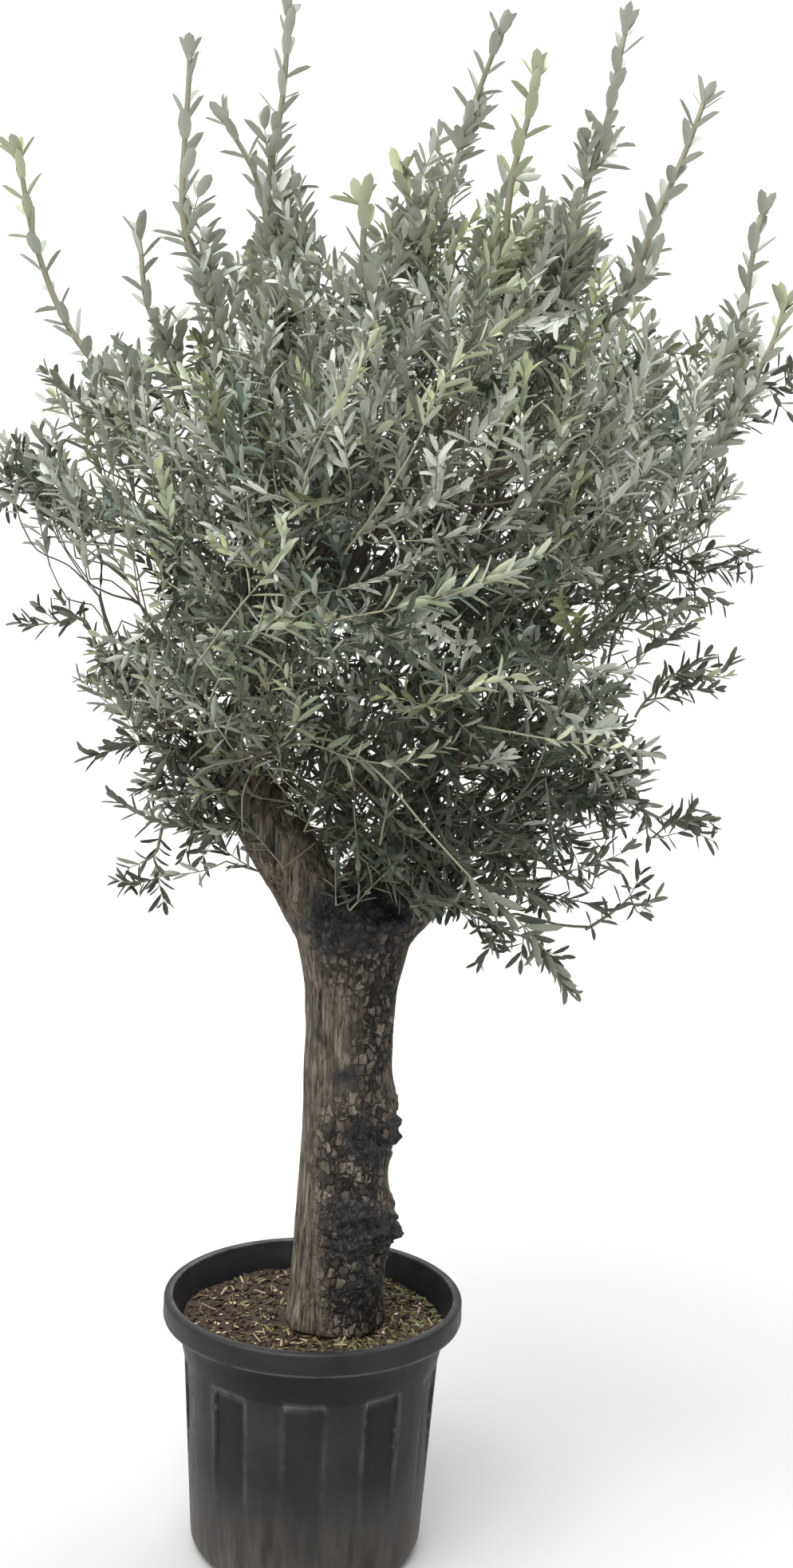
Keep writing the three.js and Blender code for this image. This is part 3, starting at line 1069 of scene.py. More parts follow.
@dataclass
class LeafBook:
    """Leaves laid down one by one, and pressed into joined pieces at the end."""

    blade: LeafBlade
    prefix: str = ""
    rows: dict[str, list[tuple]] = field(default_factory=dict)

    def lay(self, region: str, base: Vector, along: Vector, up: Vector, length: float, width: float,
            bend: float, tint: int) -> None:
        """Lay down one leaf in a region of the crown.

        Args:
            region: the region of the crown.
            base: where the leaf springs from.
            along: the way it points.
            up: the way it faces.
            length: its length.
            width: its full width.
            bend: how far its tip drops, as a part of its length.
            tint: the number of its tint.
        """
        self.rows.setdefault(region, []).append((*base, *along, *up, length, width, bend, tint))

    def press(self, limit: int) -> list[bpy.types.Object]:
        """Turn the leaves into pieces of at most a given number of leaves each.

        Args:
            limit: the most leaves a piece may have.

        Returns:
            The pieces.
        """
        pieces = []
        for region, rows in sorted(self.rows.items()):
            table = np.array(rows)
            parts = math.ceil(len(table) / limit)
            for number, part in enumerate(np.array_split(table, parts)):
                pieces.append(self.press_part(f"{self.prefix}{region}_{number + 1}", part))
        return pieces

    def press_part(self, name: str, table: Array) -> bpy.types.Object:
        """Turn a table of leaves into one piece.

        Args:
            name: the piece's name.
            table: one row a leaf, as lay keeps them.

        Returns:
            The piece, with every tint as a material.
        """
        points = self.blade.points(table[:, 0:3], table[:, 3:6], table[:, 6:9], table[:, 9], table[:, 10],
                                   table[:, 11], self.blade.leaf_fold)
        faces, sides = self.blade.faces(len(table))
        tints = np.repeat(table[:, 12].astype(int), len(faces) // len(table))
        piece = mesh_from_arrays(name, points.reshape(-1, 3), [faces], [tints * 2 + sides])
        for tint in Tint:
            for side in tint.value:
                piece.data.materials.append(side.material())
        mesh = piece.data
        edges = np.zeros(len(mesh.edges) * 2, dtype=np.int32)
        mesh.edges.foreach_get("vertices", edges)
        sharp = mesh.attributes.new("sharp_edge", "BOOLEAN", "EDGE")
        sharp.data.foreach_set("value", self.blade.outline_edges(edges.reshape(-1, 2)))
        mesh.polygons.foreach_set("use_smooth", np.ones(len(mesh.polygons), dtype=bool))
        mesh.update()
        return piece


TINTS = list(Tint)


# ---- Twigs ------------------------------------------------------------------


@dataclass
class TwigBundle:
    """Tapering round twigs along given lines, joined in one mesh."""

    points: list[Array] = field(default_factory=list)
    faces: dict[int, list[Array]] = field(default_factory=dict)
    total: int = 0

    def add(self, line: Array, radii: Array, sides: int) -> None:
        """Add one closed twig.

        Args:
            line: the points down its middle.
            radii: its radius at each point.
            sides: how many sides it has.
        """
        count = len(line)
        tangent = unit(np.gradient(line, axis=0))
        helper = np.array([0.0, 0.0, 1.0]) if abs(tangent[:, 2].mean()) < 0.8 else np.array([1.0, 0.0, 0.0])
        first = unit(np.cross(tangent, helper))
        second = np.cross(tangent, first)
        turn = np.arange(sides) * 2 * np.pi / sides
        ring = np.cos(turn)[None, :, None] * first[:, None] + np.sin(turn)[None, :, None] * second[:, None]
        points = line[:, None] + ring * radii[:, None, None]
        start = self.total
        index = start + np.arange(count * sides).reshape(count, sides)
        turned = np.roll(index, -1, axis=1)
        walls = np.stack([index[:-1], turned[:-1], turned[1:], index[1:]], axis=-1).reshape(-1, 4)
        self.faces.setdefault(4, []).append(walls)
        self.faces.setdefault(sides, []).append(index[:1, ::-1])
        self.faces.setdefault(sides, []).append(index[-1:])
        self.points.append(points.reshape(-1, 3))
        self.total += count * sides

    def build(self, name: str, finish: TwigFinish) -> bpy.types.Object:
        """Turn the bundle into one piece with one finish.

        Args:
            name: the piece's name.
            finish: its finish.

        Returns:
            The piece.
        """
        blocks = [np.concatenate(part) for _, part in sorted(self.faces.items())]
        piece = mesh_from_arrays(name, np.concatenate(self.points), blocks)
        piece.data.materials.append(finish.material())
        choose(piece)
        bpy.ops.object.shade_smooth()
        return piece


# ---- Room for the crown -----------------------------------------------------


@dataclass(frozen=True)
class Gap:
    """A place where the sky shows through the crown from front to back."""

    x: float
    z: float
    half_width: float
    half_height: float
    open: float = 1.0


GAPS = (
    Gap(0.520, 2.160, 0.055, 0.110),
    Gap(0.525, 2.030, 0.055, 0.065, 0.9),
    Gap(-0.465, 2.095, 0.050, 0.060, 0.9),
    Gap(-0.430, 2.000, 0.055, 0.065, 0.8),
    Gap(-0.460, 1.665, 0.075, 0.060),
    Gap(-0.360, 1.600, 0.085, 0.045),
    Gap(0.555, 1.695, 0.065, 0.050),
    Gap(0.545, 1.500, 0.080, 0.055),
    Gap(0.470, 1.470, 0.050, 0.040, 0.4),
    Gap(0.400, 1.250, 0.060, 0.035, 0.6),
    Gap(0.470, 1.170, 0.060, 0.050, 0.7),
    Gap(-0.500, 1.640, 0.060, 0.050),
    Gap(-0.390, 1.800, 0.050, 0.045, 0.9),
    Gap(0.590, 1.930, 0.040, 0.030, 0.5),
    Gap(-0.280, 1.205, 0.060, 0.040, 0.5),
    Gap(0.145, 1.865, 0.045, 0.035, 0.5),
    Gap(0.315, 1.840, 0.050, 0.040, 0.5),
    Gap(0.430, 1.560, 0.045, 0.045, 0.5),
    Gap(-0.023, 2.220, 0.050, 0.060, 0.9),
    Gap(-0.330, 1.780, 0.040, 0.040, 0.4),
)


@dataclass(frozen=True)
class Tuft:
    """A place that the crown fills more closely than its rule does: extra sprays end around it."""

    place: tuple[float, float, float]
    tier: str
    count: int
    spread: float = 0.040


TUFTS = (
    Tuft((0.10, -0.12, 2.17), "top", 9),
    Tuft((0.14, -0.10, 2.25), "top", 5, 0.030),
    Tuft((-0.14, 0.02, 2.06), "top", 9),
    Tuft((0.25, -0.06, 2.17), "top", 7),
    Tuft((0.33, -0.04, 2.16), "top", 9),
    Tuft((0.31, -0.08, 2.22), "top", 5, 0.030),
    Tuft((-0.10, 0.00, 2.20), "top", 6, 0.035),
    Tuft((-0.49, 0.00, 1.81), "upper", 13),
    Tuft((-0.44, -0.12, 1.78), "upper", 6),
    Tuft((-0.37, -0.05, 1.48), "middle", 13, 0.045),
    Tuft((-0.27, -0.02, 1.28), "skirt", 14, 0.045),
    Tuft((-0.22, -0.10, 1.31), "skirt", 12),
    Tuft((-0.16, -0.12, 1.39), "middle", 9),
    Tuft((0.58, 0.00, 1.81), "upper", 9),
    Tuft((0.56, 0.00, 1.61), "middle", 6, 0.030),
    Tuft((0.45, -0.06, 1.38), "middle", 9),
    Tuft((0.50, -0.05, 1.35), "middle", 6, 0.030),
    Tuft((0.42, -0.10, 1.44), "middle", 5),
    Tuft((0.44, -0.06, 1.32), "middle", 7),
    Tuft((0.30, -0.06, 1.21), "skirt", 7),
    Tuft((0.17, -0.12, 1.17), "skirt", 13),
    Tuft((0.20, -0.08, 1.13), "skirt", 7, 0.030),
    Tuft((-0.20, -0.03, 1.21), "skirt", 9),
    Tuft((0.63, -0.05, 2.02), "top", 5),
)


@dataclass
class CrownRoom:
    """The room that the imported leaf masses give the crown."""

    nodes: list[str]
    spine: tuple[float, float, float, float] = (0.062, 0.0, 1.36, 1.74)

    def __post_init__(self) -> None:
        """Read each node's surface, and all of them as one."""
        self.trees: dict[str, BVHTree] = {}
        points: list[Vector] = []
        faces: list[tuple[int, ...]] = []
        for name in self.nodes:
            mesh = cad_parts[name].data
            own = [vertex.co.copy() for vertex in mesh.vertices]
            polygons = [tuple(face.vertices) for face in mesh.polygons]
            self.trees[name] = BVHTree.FromPolygons(own, polygons)
            faces += [tuple(corner + len(points) for corner in face) for face in polygons]
            points += own
        self.whole = BVHTree.FromPolygons(points, faces)

    def holds(self, name: str, point: Vector) -> bool:
        """Say whether a node's solid holds a point.

        Args:
            name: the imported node.
            point: the place to test.

        Returns:
            Whether the solid holds it.
        """
        crossings, start = 0, point.copy()
        way = Vector((0.31, 0.22, 0.92)).normalized()
        for _ in range(12):
            hit = self.trees[name].ray_cast(start, way)[0]
            if hit is None:
                break
            crossings += 1
            start = hit + way * 1e-5
        return crossings % 2 == 1

    def openness(self, point: Vector) -> float:
        """Return how open the crown is at a point: one in the middle of a gap, and nothing away from all.

        Args:
            point: the place to test.

        Returns:
            A number from nothing to one.
        """
        widest = 0.0
        for gap in GAPS:
            away = ((point.x - gap.x) / gap.half_width) ** 2 + ((point.z - gap.z) / gap.half_height) ** 2
            widest = max(widest, gap.open * max(0.0, 1.0 - away * 0.8))
        return min(1.0, widest * 1.6)

    def outward(self, point: Vector) -> Vector:
        """Return the way out of the crown from a point.

        Args:
            point: the place to leave from.

        Returns:
            The way, of length one.
        """
        x, y, low, high = self.spine
        middle = Vector((x, y, min(max(point.z, low), high)))
        away = point - middle
        return away.normalized() if away.length > 1e-4 else Vector((0.0, 0.0, 1.0))

    def depth(self, point: Vector) -> float:
        """Return how deep under the crown's outside a point lies.

        Args:
            point: the place to test.

        Returns:
            The depth in metres.
        """
        way = self.outward(point)
        start, deepest = point.copy(), 0.0
        for _ in range(10):
            hit = self.whole.ray_cast(start, way)[0]
            if hit is None:
                break
            deepest = (hit - point).length
            start = hit + way * 1e-4
        return deepest


# ---- Limbs ------------------------------------------------------------------


@dataclass
class Skeleton:
    """Limbs that grow towards their targets, always by the cheapest way on from what is there."""

    random: np.random.Generator
    step: float = 0.055
    wander: float = 0.007
    longest_bow: float = 0.14
    axis: tuple[float, float] = (0.045, 0.0)
    inward_cost: float = 1.3
    fan: float = 0.8
    points: list[Array] = field(default_factory=list)
    parents: list[int] = field(default_factory=list)
    paths: list[float] = field(default_factory=list)
    ways: list[Array] = field(default_factory=list)
    tips: list[int] = field(default_factory=list)

    def plant(self, point: Array, way: Array, path: float = 0.0) -> int:
        """Start a limb at a bough's end, heading the bough's way."""
        return self._put(point, -1, path, way)

    def _put(self, point: Array, parent: int, path: float, way: Array) -> int:
        """Add one joint of a limb.

        Args:
            point: where the joint stands.
            parent: the joint before it, or -1.
            path: how long the way from the bough's end is.
            way: the way the limb heads there.

        Returns:
            The joint's number.
        """
        self.points.append(point)
        self.parents.append(parent)
        self.paths.append(path)
        self.ways.append(way)
        return len(self.points) - 1

    def extend(self, parent: int, target: Array) -> list[int]:
        """Grow from a joint to a target in short, slightly wandering steps.

        Args:
            parent: the joint to grow on from.
            target: where to grow to.

        Returns:
            The numbers of the new joints, the target's last.
        """
        start, made = self.points[parent], []
        gap = target - start
        count = max(1, round(float(np.linalg.norm(gap)) / self.step))
        way = unit(gap)
        bow = self.ways[parent] - way * float(self.ways[parent] @ way)
        length = float(np.linalg.norm(gap))
        joint = parent
        for number in range(1, count + 1):
            part = number / count
            point = start + gap * part
            if number < count:
                point = point + bow * min(length, self.longest_bow) * 0.30 * part * (1 - part) ** 2
                point = point + self.random.normal(0.0, self.wander, 3)
            heading = unit(point - self.points[joint])
            path = self.paths[joint] + float(np.linalg.norm(point - self.points[joint]))
            joint = self._put(point, joint, path, heading)
            made.append(joint)
        return made

    def reach(self, targets: Array, thrift: float, turn_cost: float = 0.5) -> list[int]:
        """Join every target to the limbs, the cheapest first.

        Args:
            targets: the places to reach, one row each.
            thrift: how much the whole path counts against the last stretch.
            turn_cost: how much a sharp turn adds to a stretch.

        Returns:
            For each target, the joint that stands at it.
        """
        count = len(targets)
        radial = np.linalg.norm(targets[:, :2] - self.axis, axis=1)
        best = np.full(count, np.inf)
        giver = np.zeros(count, dtype=int)
        joint_of = np.zeros(count, dtype=int)
        waiting = np.ones(count, dtype=bool)

        def offer(joint: int) -> None:
            gap = targets - self.points[joint]
            distance = np.linalg.norm(gap, axis=1)
            turn = 1 - (gap @ self.ways[joint]) / np.maximum(distance, 1e-6)
            own_radial = float(np.linalg.norm(self.points[joint][:2] - self.axis))
            inward = np.maximum(0.0, own_radial - self.fan * radial)
            cost = distance * (1 + turn_cost * turn) + thrift * self.paths[joint] + self.inward_cost * inward
            better = waiting & (cost < best)
            best[better] = cost[better]
            giver[better] = joint

        for joint in range(len(self.points)):
            offer(joint)
        for _ in range(count):
            chosen = int(np.argmin(np.where(waiting, best, np.inf)))
            waiting[chosen] = False
            made = self.extend(int(giver[chosen]), targets[chosen])
            joint_of[chosen] = made[-1]
            for joint in made:
                offer(joint)
        return [int(joint) for joint in joint_of]

    def radii(self, tip_radius: float, power: float) -> Array:
        """Work out how thick each joint is, from what it carries.

        Args:
            tip_radius: the radius at a joint that carries one spray.
            power: a limb's radius to this power is the sum of its branches' to the same.

        Returns:
            Each joint's radius.
        """
        load = np.zeros(len(self.points))
        for tip in self.tips:
            load[tip] += tip_radius ** power
        for joint in range(len(self.points) - 1, -1, -1):
            if self.parents[joint] >= 0:
                load[self.parents[joint]] += load[joint]
        return load ** (1 / power)

    def chains(self, radii: Array) -> list[list[int]]:
        """Split the limbs into unbroken runs, each going on into its thickest branch.

        Args:
            radii: each joint's radius.

        Returns:
            The joints of each run, from its foot on.
        """
        children: dict[int, list[int]] = {}
        for joint, parent in enumerate(self.parents):
            if parent >= 0 and radii[joint] > 0:
                children.setdefault(parent, []).append(joint)
        for branches in children.values():
            branches.sort(key=lambda joint: -radii[joint])
        runs = []
        starts = [(-1, joint) for joint, parent in enumerate(self.parents) if parent < 0]
        while starts:
            parent, joint = starts.pop()
            run = [] if parent < 0 else [parent]
            while joint is not None:
                run.append(joint)
                branches = children.get(joint, [])
                starts += [(joint, branch) for branch in branches[1:]]
                joint = branches[0] if branches else None
            runs.append(run)
        return runs


def smooth_line(points: Array, parts: int) -> Array:
    """Lay a smooth line through points, with a number of parts between each two.

    Args:
        points: the points to pass through.
        parts: how many parts lie between each two.

    Returns:
        The points of the smooth line.
    """
    if len(points) < 3 or parts < 2:
        return points
    padded = np.vstack([2 * points[0] - points[1], points, 2 * points[-1] - points[-2]])
    t = np.arange(parts)[:, None] / parts
    line = []
    for a, b, c, d in zip(padded, padded[1:], padded[2:], padded[3:]):
        line.append(0.5 * (2 * b + (c - a) * t + (2 * a - 5 * b + 4 * c - d) * t ** 2
                           + (3 * b - a - 3 * c + d) * t ** 3))
    return np.vstack([*line, points[-1:]])


def bough_end(name: str) -> tuple[Array, Array, float]:
    """Return the middle of a packed bough's far end, the way it points, and its radius there.

    Args:
        name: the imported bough.

    Returns:
        The middle, the way and the radius.
    """
    points = np.array([vertex.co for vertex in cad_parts[name].data.vertices])
    fork = np.array([0.045, 0.0, 1.06])
    far = points[np.argsort(-np.linalg.norm(points - fork, axis=1))[:24]]
    end = far.mean(axis=0)
    return end, unit(end - fork), float(np.linalg.norm(far - end, axis=1).max())


# ---- Crown ------------------------------------------------------------------


@dataclass(frozen=True)
class Habit:
    """How the sprays of one part of the crown grow."""

    region: str
    sprays_per_litre: float
    length: tuple[float, float]
    leaf_length: float
    leaf_width: float
    lift: float
    outward: float
    unrest: float
    tints: dict[Tint, float]


# Painted light and shade: the tiers' tint shares run from the palest at the top to mostly the darkest in the skirt,
# as light falls from above.
HABITS = {
    "skirt": Habit("skirt", 4.4, (0.09, 0.19), 0.039, 0.0088, 0.0, 0.85, 0.55,
                   {Tint.DEEP: 0.70, Tint.GREY: 0.10, Tint.BLUE: 0.06, Tint.MOSS: 0.04, Tint.ASH: 0.05,
                    Tint.SAGE: 0.05}),
    "middle": Habit("middle", 4.0, (0.10, 0.20), 0.040, 0.0092, 0.35, 0.75, 0.55,
                    {Tint.DEEP: 0.30, Tint.GREY: 0.12, Tint.BLUE: 0.10, Tint.MOSS: 0.10, Tint.ASH: 0.14,
                     Tint.MIST: 0.12, Tint.SAGE: 0.12}),
    "upper": Habit("upper", 3.3, (0.12, 0.23), 0.043, 0.0108, 0.75, 0.55, 0.45,
                   {Tint.DEEP: 0.06, Tint.GREY: 0.14, Tint.ASH: 0.28, Tint.MIST: 0.20, Tint.FROST: 0.12,
                    Tint.BLUE: 0.06, Tint.MOSS: 0.08, Tint.SAGE: 0.14}),
    "top": Habit("top", 3.0, (0.14, 0.25), 0.046, 0.0125, 1.0, 0.4, 0.4,
                 {Tint.ASH: 0.20, Tint.MIST: 0.20, Tint.FROST: 0.38, Tint.MOSS: 0.06, Tint.SAGE: 0.13,
                  Tint.YOUNG: 0.03}),
}
# Painted light: the shoots at the top get only pale tints.
SHOOT_HABIT = Habit("shoots", 0.0, (0.0, 0.0), 0.052, 0.0185, 1.0, 0.3, 0.2,
                    {Tint.MIST: 0.50, Tint.FROST: 0.30, Tint.ASH: 0.20})
# Painted shade: the side sprays get mostly the darkest tint.
SIDE_HABIT = Habit("side_sprays", 0.0, (0.0, 0.0), 0.038, 0.0095, 0.2, 0.8, 0.3,
                   {Tint.DEEP: 0.85, Tint.GREY: 0.15})
FEATURE_HABIT = Habit("features", 0.0, (0.0, 0.0), 0.054, 0.0115, 0.5, 0.6, 0.2,
                      {Tint.SAGE: 0.7, Tint.YOUNG: 0.3})


@dataclass(frozen=True)
class Feature:
    """A long shoot that stands out in front of the crown: its line, its leaves and its bark."""

    line: tuple[tuple[float, float, float], ...]
    tint: Tint
    bare: float
    leaf_scale: float = 1.0
    thick: float = 2.0 * MM
    leafy: bool = True
    gap: float = 0.0185


LEADERS: dict[str, tuple[tuple[float, float, float], ...]] = {
    "shoot_far_left": ((-0.33, -0.05, 1.89), (-0.43, -0.06, 1.99), (-0.475, -0.06, 2.10)),
    "shoot_left_low": ((-0.29, 0.11, 1.95), (-0.33, 0.12, 2.06)),
    "shoot_left": ((-0.20, -0.12, 2.02), (-0.24, -0.13, 2.13), (-0.255, -0.13, 2.24)),
    "shoot_left_inner": ((-0.13, 0.10, 2.13), (-0.16, 0.10, 2.25)),
    "shoot_tallest": ((-0.12, 0.00, 2.07), (-0.13, 0.00, 2.22), (-0.12, 0.00, 2.37)),
    "shoot_front": ((0.04, -0.27, 2.02), (0.03, -0.28, 2.10)),
    "shoot_middle": ((0.10, -0.12, 2.11), (0.09, -0.13, 2.19)),
    "shoot_right_inner": ((0.10, 0.07, 2.12), (0.14, 0.08, 2.25), (0.175, 0.08, 2.36)),
    "shoot_pale": ((0.24, -0.10, 2.11), (0.245, -0.11, 2.22), (0.255, -0.11, 2.31)),
    "shoot_right": ((0.35, 0.01, 2.11), (0.365, 0.01, 2.25), (0.39, 0.01, 2.36)),
    "shoot_right_outer": ((0.42, -0.08, 2.07), (0.46, -0.09, 2.17), (0.49, -0.09, 2.25)),
    "shoot_far_right": ((0.60, 0.08, 1.95), (0.63, 0.09, 2.06), (0.645, 0.09, 2.14)),
    "shoot_right_low": ((0.58, -0.06, 1.86), (0.63, -0.07, 1.93), (0.65, -0.07, 1.99)),
}

BUSHY = {"shoot_tallest": 1.7, "shoot_right_inner": 1.8, "shoot_right": 1.6, "shoot_left": 1.3, "shoot_pale": 0.6,
         "shoot_far_left": 0.6, "spray_right_hanging": 0.35, "spray_right_low": 0.7,
         "spray_left_mid": 0.5, "spray_left_hanging": 0.5}

YOUNG_TIPS = {"shoot_far_left", "shoot_right_low", "shoot_front", "shoot_middle", "spray_right_mid"}

FEATURES = (
    Feature(((-0.10, -0.16, 1.348), (-0.01, -0.26, 1.391), (0.073, -0.34, 1.356), (0.156, -0.38, 1.272),
             (0.226, -0.40, 1.204), (0.291, -0.40, 1.150), (0.333, -0.39, 1.103), (0.357, -0.38, 1.058)),
            Tint.DEEP, 0.66, 1.15, 2.5 * MM),
    Feature(((-0.107, -0.16, 1.351), (-0.034, -0.27, 1.383), (0.038, -0.33, 1.370), (0.107, -0.36, 1.368),
             (0.174, -0.37, 1.397)), Tint.SAGE, 0.45, 0.85, 2.4 * MM),
    Feature(((-0.091, -0.36, 1.538), (0.012, -0.43, 1.568), (0.099, -0.45, 1.589), (0.184, -0.45, 1.618),
             (0.248, -0.44, 1.648), (0.302, -0.43, 1.672)), Tint.SAGE, 0.42, 1.0, 2.2 * MM),
    Feature(((0.08, -0.36, 1.570), (0.12, -0.44, 1.592), (0.173, -0.47, 1.610), (0.237, -0.46, 1.637),
             (0.273, -0.46, 1.662)), Tint.BLUE, 0.2, 0.9, 1.8 * MM),
    Feature(((-0.167, -0.34, 1.443), (-0.138, -0.38, 1.503), (-0.103, -0.41, 1.544), (-0.040, -0.43, 1.561)),
            Tint.SAGE, 0.15, 1.05),
    Feature(((-0.06, -0.30, 1.39), (-0.040, -0.36, 1.421), (-0.036, -0.40, 1.452), (-0.062, -0.43, 1.505)),
            Tint.SAGE, 0.2, 0.85),
    Feature(((0.10, -0.36, 1.44), (0.153, -0.42, 1.461), (0.201, -0.44, 1.484), (0.244, -0.45, 1.499),
             (0.278, -0.45, 1.503)), Tint.YOUNG, 0.25, 0.8),
    Feature(((0.216, -0.37, 1.427), (0.282, -0.42, 1.420), (0.350, -0.41, 1.411), (0.407, -0.40, 1.405)),
            Tint.SAGE, 0.45, 0.7, 1.8 * MM),
    Feature(((-0.186, -0.38, 1.491), (-0.118, -0.43, 1.582), (-0.066, -0.45, 1.649), (-0.064, -0.45, 1.702)),
            Tint.SAGE, 0.5, 0.9),
    Feature(((0.02, -0.38, 1.66), (0.061, -0.44, 1.717), (0.111, -0.46, 1.803), (0.150, -0.44, 1.902),
             (0.235, -0.40, 1.984)), Tint.YOUNG, 0.5, 0.9, 2.4 * MM),
    Feature(((-0.04, -0.40, 1.74), (-0.022, -0.43, 1.798), (0.023, -0.43, 1.886), (0.051, -0.40, 1.956)),
            Tint.YOUNG, 0.4, 0.9),
    Feature(((-0.109, -0.13, 1.345), (-0.126, -0.19, 1.302), (-0.127, -0.20, 1.260), (-0.124, -0.19, 1.231)),
            Tint.SAGE, 0.0, 1.0, 1.6 * MM, False),
    Feature(((-0.109, -0.13, 1.345), (-0.066, -0.20, 1.320), (-0.028, -0.22, 1.293), (0.0, -0.21, 1.275)),
            Tint.SAGE, 0.0, 1.0, 1.6 * MM, False),
    Feature(((-0.109, -0.13, 1.345), (-0.072, -0.20, 1.311), (-0.040, -0.22, 1.282)),
            Tint.SAGE, 0.0, 1.0, 1.4 * MM, False),
    Feature(((-0.115, -0.13, 1.347), (-0.152, -0.20, 1.344), (-0.186, -0.21, 1.332), (-0.212, -0.19, 1.304)),
            Tint.SAGE, 0.0, 1.0, 1.4 * MM, False),
)


LIMB_ENDS = (
    (-0.40, -0.03, 1.80), (-0.34, 0.10, 1.90), (-0.36, -0.04, 1.53), (0.46, 0.02, 1.84), (0.54, -0.02, 1.93),
    (0.45, -0.05, 1.60), (0.42, 0.02, 1.43),
)


@dataclass
class Crown:
    """Limbs, twigs and leaves grown from the boughs into the room of the leaf masses."""

    random: np.random.Generator
    leaf_limit: int = 8200
    tip_radius: float = 1.25 * MM
    pipe_power: float = 2.35
    skeleton_thrift: float = 0.42
    shell: float = 0.16
    heart: tuple[float, float, float] = (0.05, 0.0, 1.45)
    core_share: float = 0.30
    clump_scale: float = 9.0
    clumping: float = 0.9
    shade_level: float = 1.64
    low_shade: float = 1.00
    shade_width: float = 0.34
    foot_reach: float = 0.94
    lowest_foot: float = 1.13
    leaf_loss: float = 0.08
    leaf_angle_noise: float = 0.22
    leaf_twist_noise: float = 0.42
    shoot_twig_gap: float = 0.060
    spray_twig_gap: float = 0.034
    shoot_stem: float = 6.4 * MM
    spray_stem: float = 3.0 * MM

    def __post_init__(self) -> None:
        """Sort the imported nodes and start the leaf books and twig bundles."""
        names = sorted(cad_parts)
        self.masses = [name for name in names if name.startswith("crown_")]
        self.shoots = [name for name in names if name.startswith("shoot_")]
        self.sprays = [name for name in names if name.startswith("spray_")]
        self.room = CrownRoom(self.masses)
        self.room_low, self.room_high = (np.array(corner) for corner in CAD_BOX)
        self.skeleton = Skeleton(self.random)
        self.leaves = LeafBook(FULL_BLADE)
        self.inner_leaves = LeafBook(PLAIN_BLADE, "inner_")
        self.stems = TwigBundle()
        self.twigs = TwigBundle()
        self.limbs = TwigBundle()

    def plant_boughs(self) -> None:
        """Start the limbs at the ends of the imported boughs."""
        for name in ("bough_left", "bough_right", "bough_middle"):
            end, way, _ = bough_end(name)
            self.skeleton.plant(end - way * 0.03, way)

    def middle_of(self, name: str) -> Array:
        """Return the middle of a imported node's points.

        Args:
            name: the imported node.

        Returns:
            The middle.
        """
        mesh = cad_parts[name].data
        return np.array([vertex.co for vertex in mesh.vertices]).mean(axis=0)

    def grow_limbs(self) -> None:
        """Reach first the heart of every leaf mass, and then the ends of the crown's longest limbs."""
        hubs = np.array([self.middle_of(name) for name in self.masses])
        self.skeleton.reach(hubs, 0.25, 0.9)
        self.skeleton.reach(np.array(LIMB_ENDS), 0.10, 0.9)

    def mass_targets(self, name: str, habit: Habit) -> list[tuple[Vector, float]]:
        """Pick where the sprays of one mass end: most of them near the crown's outside.

        Args:
            name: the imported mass.
            habit: how its sprays grow.

        Returns:
            Each spray's tip and its depth under the crown's outside.
        """
        low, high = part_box(name)
        size = high - low
        litres = size.x * size.y * size.z * 1000
        picked = []
        for _ in range(round(litres * habit.sprays_per_litre)):
            part = self.random.random(3)
            point = low + Vector((size.x * part[0], size.y * part[1], size.z * part[2]))
            chance = self.random.random()
            if not self.room.holds(name, point):
                continue
            depth = self.room.depth(point)
            share = self.core_share + (1 - self.core_share) * math.exp(-((depth / self.shell) ** 2))
            clump = noise.noise(point * self.clump_scale)
            share *= min(1.0, max(0.15, 0.80 + self.clumping * clump)) * (1 - self.room.openness(point))
            if chance < share:
                picked.append((point, depth))
        return picked

    def shade_at(self, point: Vector) -> float:
        """Return the extra depth that a point low down and near the trunk counts as, so that its sprays get painted
        shade.

        Args:
            point: the place to test.

        Returns:
            The extra depth in metres.
        """
        near = max(0.25, 1.0 - abs(point.x - self.heart[0]) / self.shade_width)
        return self.low_shade * near * max(0.0, self.shade_level - point.z)

    def spray_way(self, point: Vector, habit: Habit) -> Vector:
        """Return the way a spray at a point grows: outwards, up to the light, and a little at random.

        Args:
            point: the spray's tip.
            habit: how the spray grows.

        Returns:
            The way, of length one.
        """
        outward = self.room.outward(point)
        drift = Vector(self.random.normal(0.0, habit.unrest, 3))
        return (outward * habit.outward + Vector((0.0, 0.0, habit.lift)) + drift).normalized()

    def spray_foot(self, tip: Vector, way: Vector, length: float) -> Vector:
        """Return a spray's foot, which never stands farther out or lower than its own limb could.

        Args:
            tip: the spray's tip.
            way: the way the spray grows.
            length: the spray's length.

        Returns:
            The foot, no farther from the trunk's line than the tip.
        """
        foot = tip - way * length
        axis = Vector((self.heart[0], self.heart[1], foot.z))
        reach = (foot - axis).length
        limit = self.foot_reach * math.hypot(tip.x - axis.x, tip.y - axis.y)
        if reach > limit:
            foot = axis + (foot - axis) * (limit / reach)
        foot.z = max(foot.z, self.lowest_foot)
        return foot

    def pick_tint(self, habit: Habit, depth: float) -> Tint:
        """Deal out a spray's tint, painting shade: the deeper a spray lies, the likelier it gets its tier's shaded
        tint, so pale ones stand only near the outside.

        Args:
            habit: how the spray grows.
            depth: its depth under the crown's outside.

        Returns:
            The tint.
        """
        # Painted shade: deep sprays take a darker tint than the tier's palest: the darkest low down, grey or ash
        # higher up.
        if self.random.random() < min(0.75, max(0.0, (depth - 0.13) * 4.5)):
            return Tint.DEEP if habit.lift < 0.5 else Tint.GREY if habit.lift < 0.9 else Tint.ASH
        tints = list(habit.tints)
        weights = np.array([habit.tints[tint] for tint in tints])
        return tints[int(self.random.choice(len(tints), p=weights / weights.sum()))]

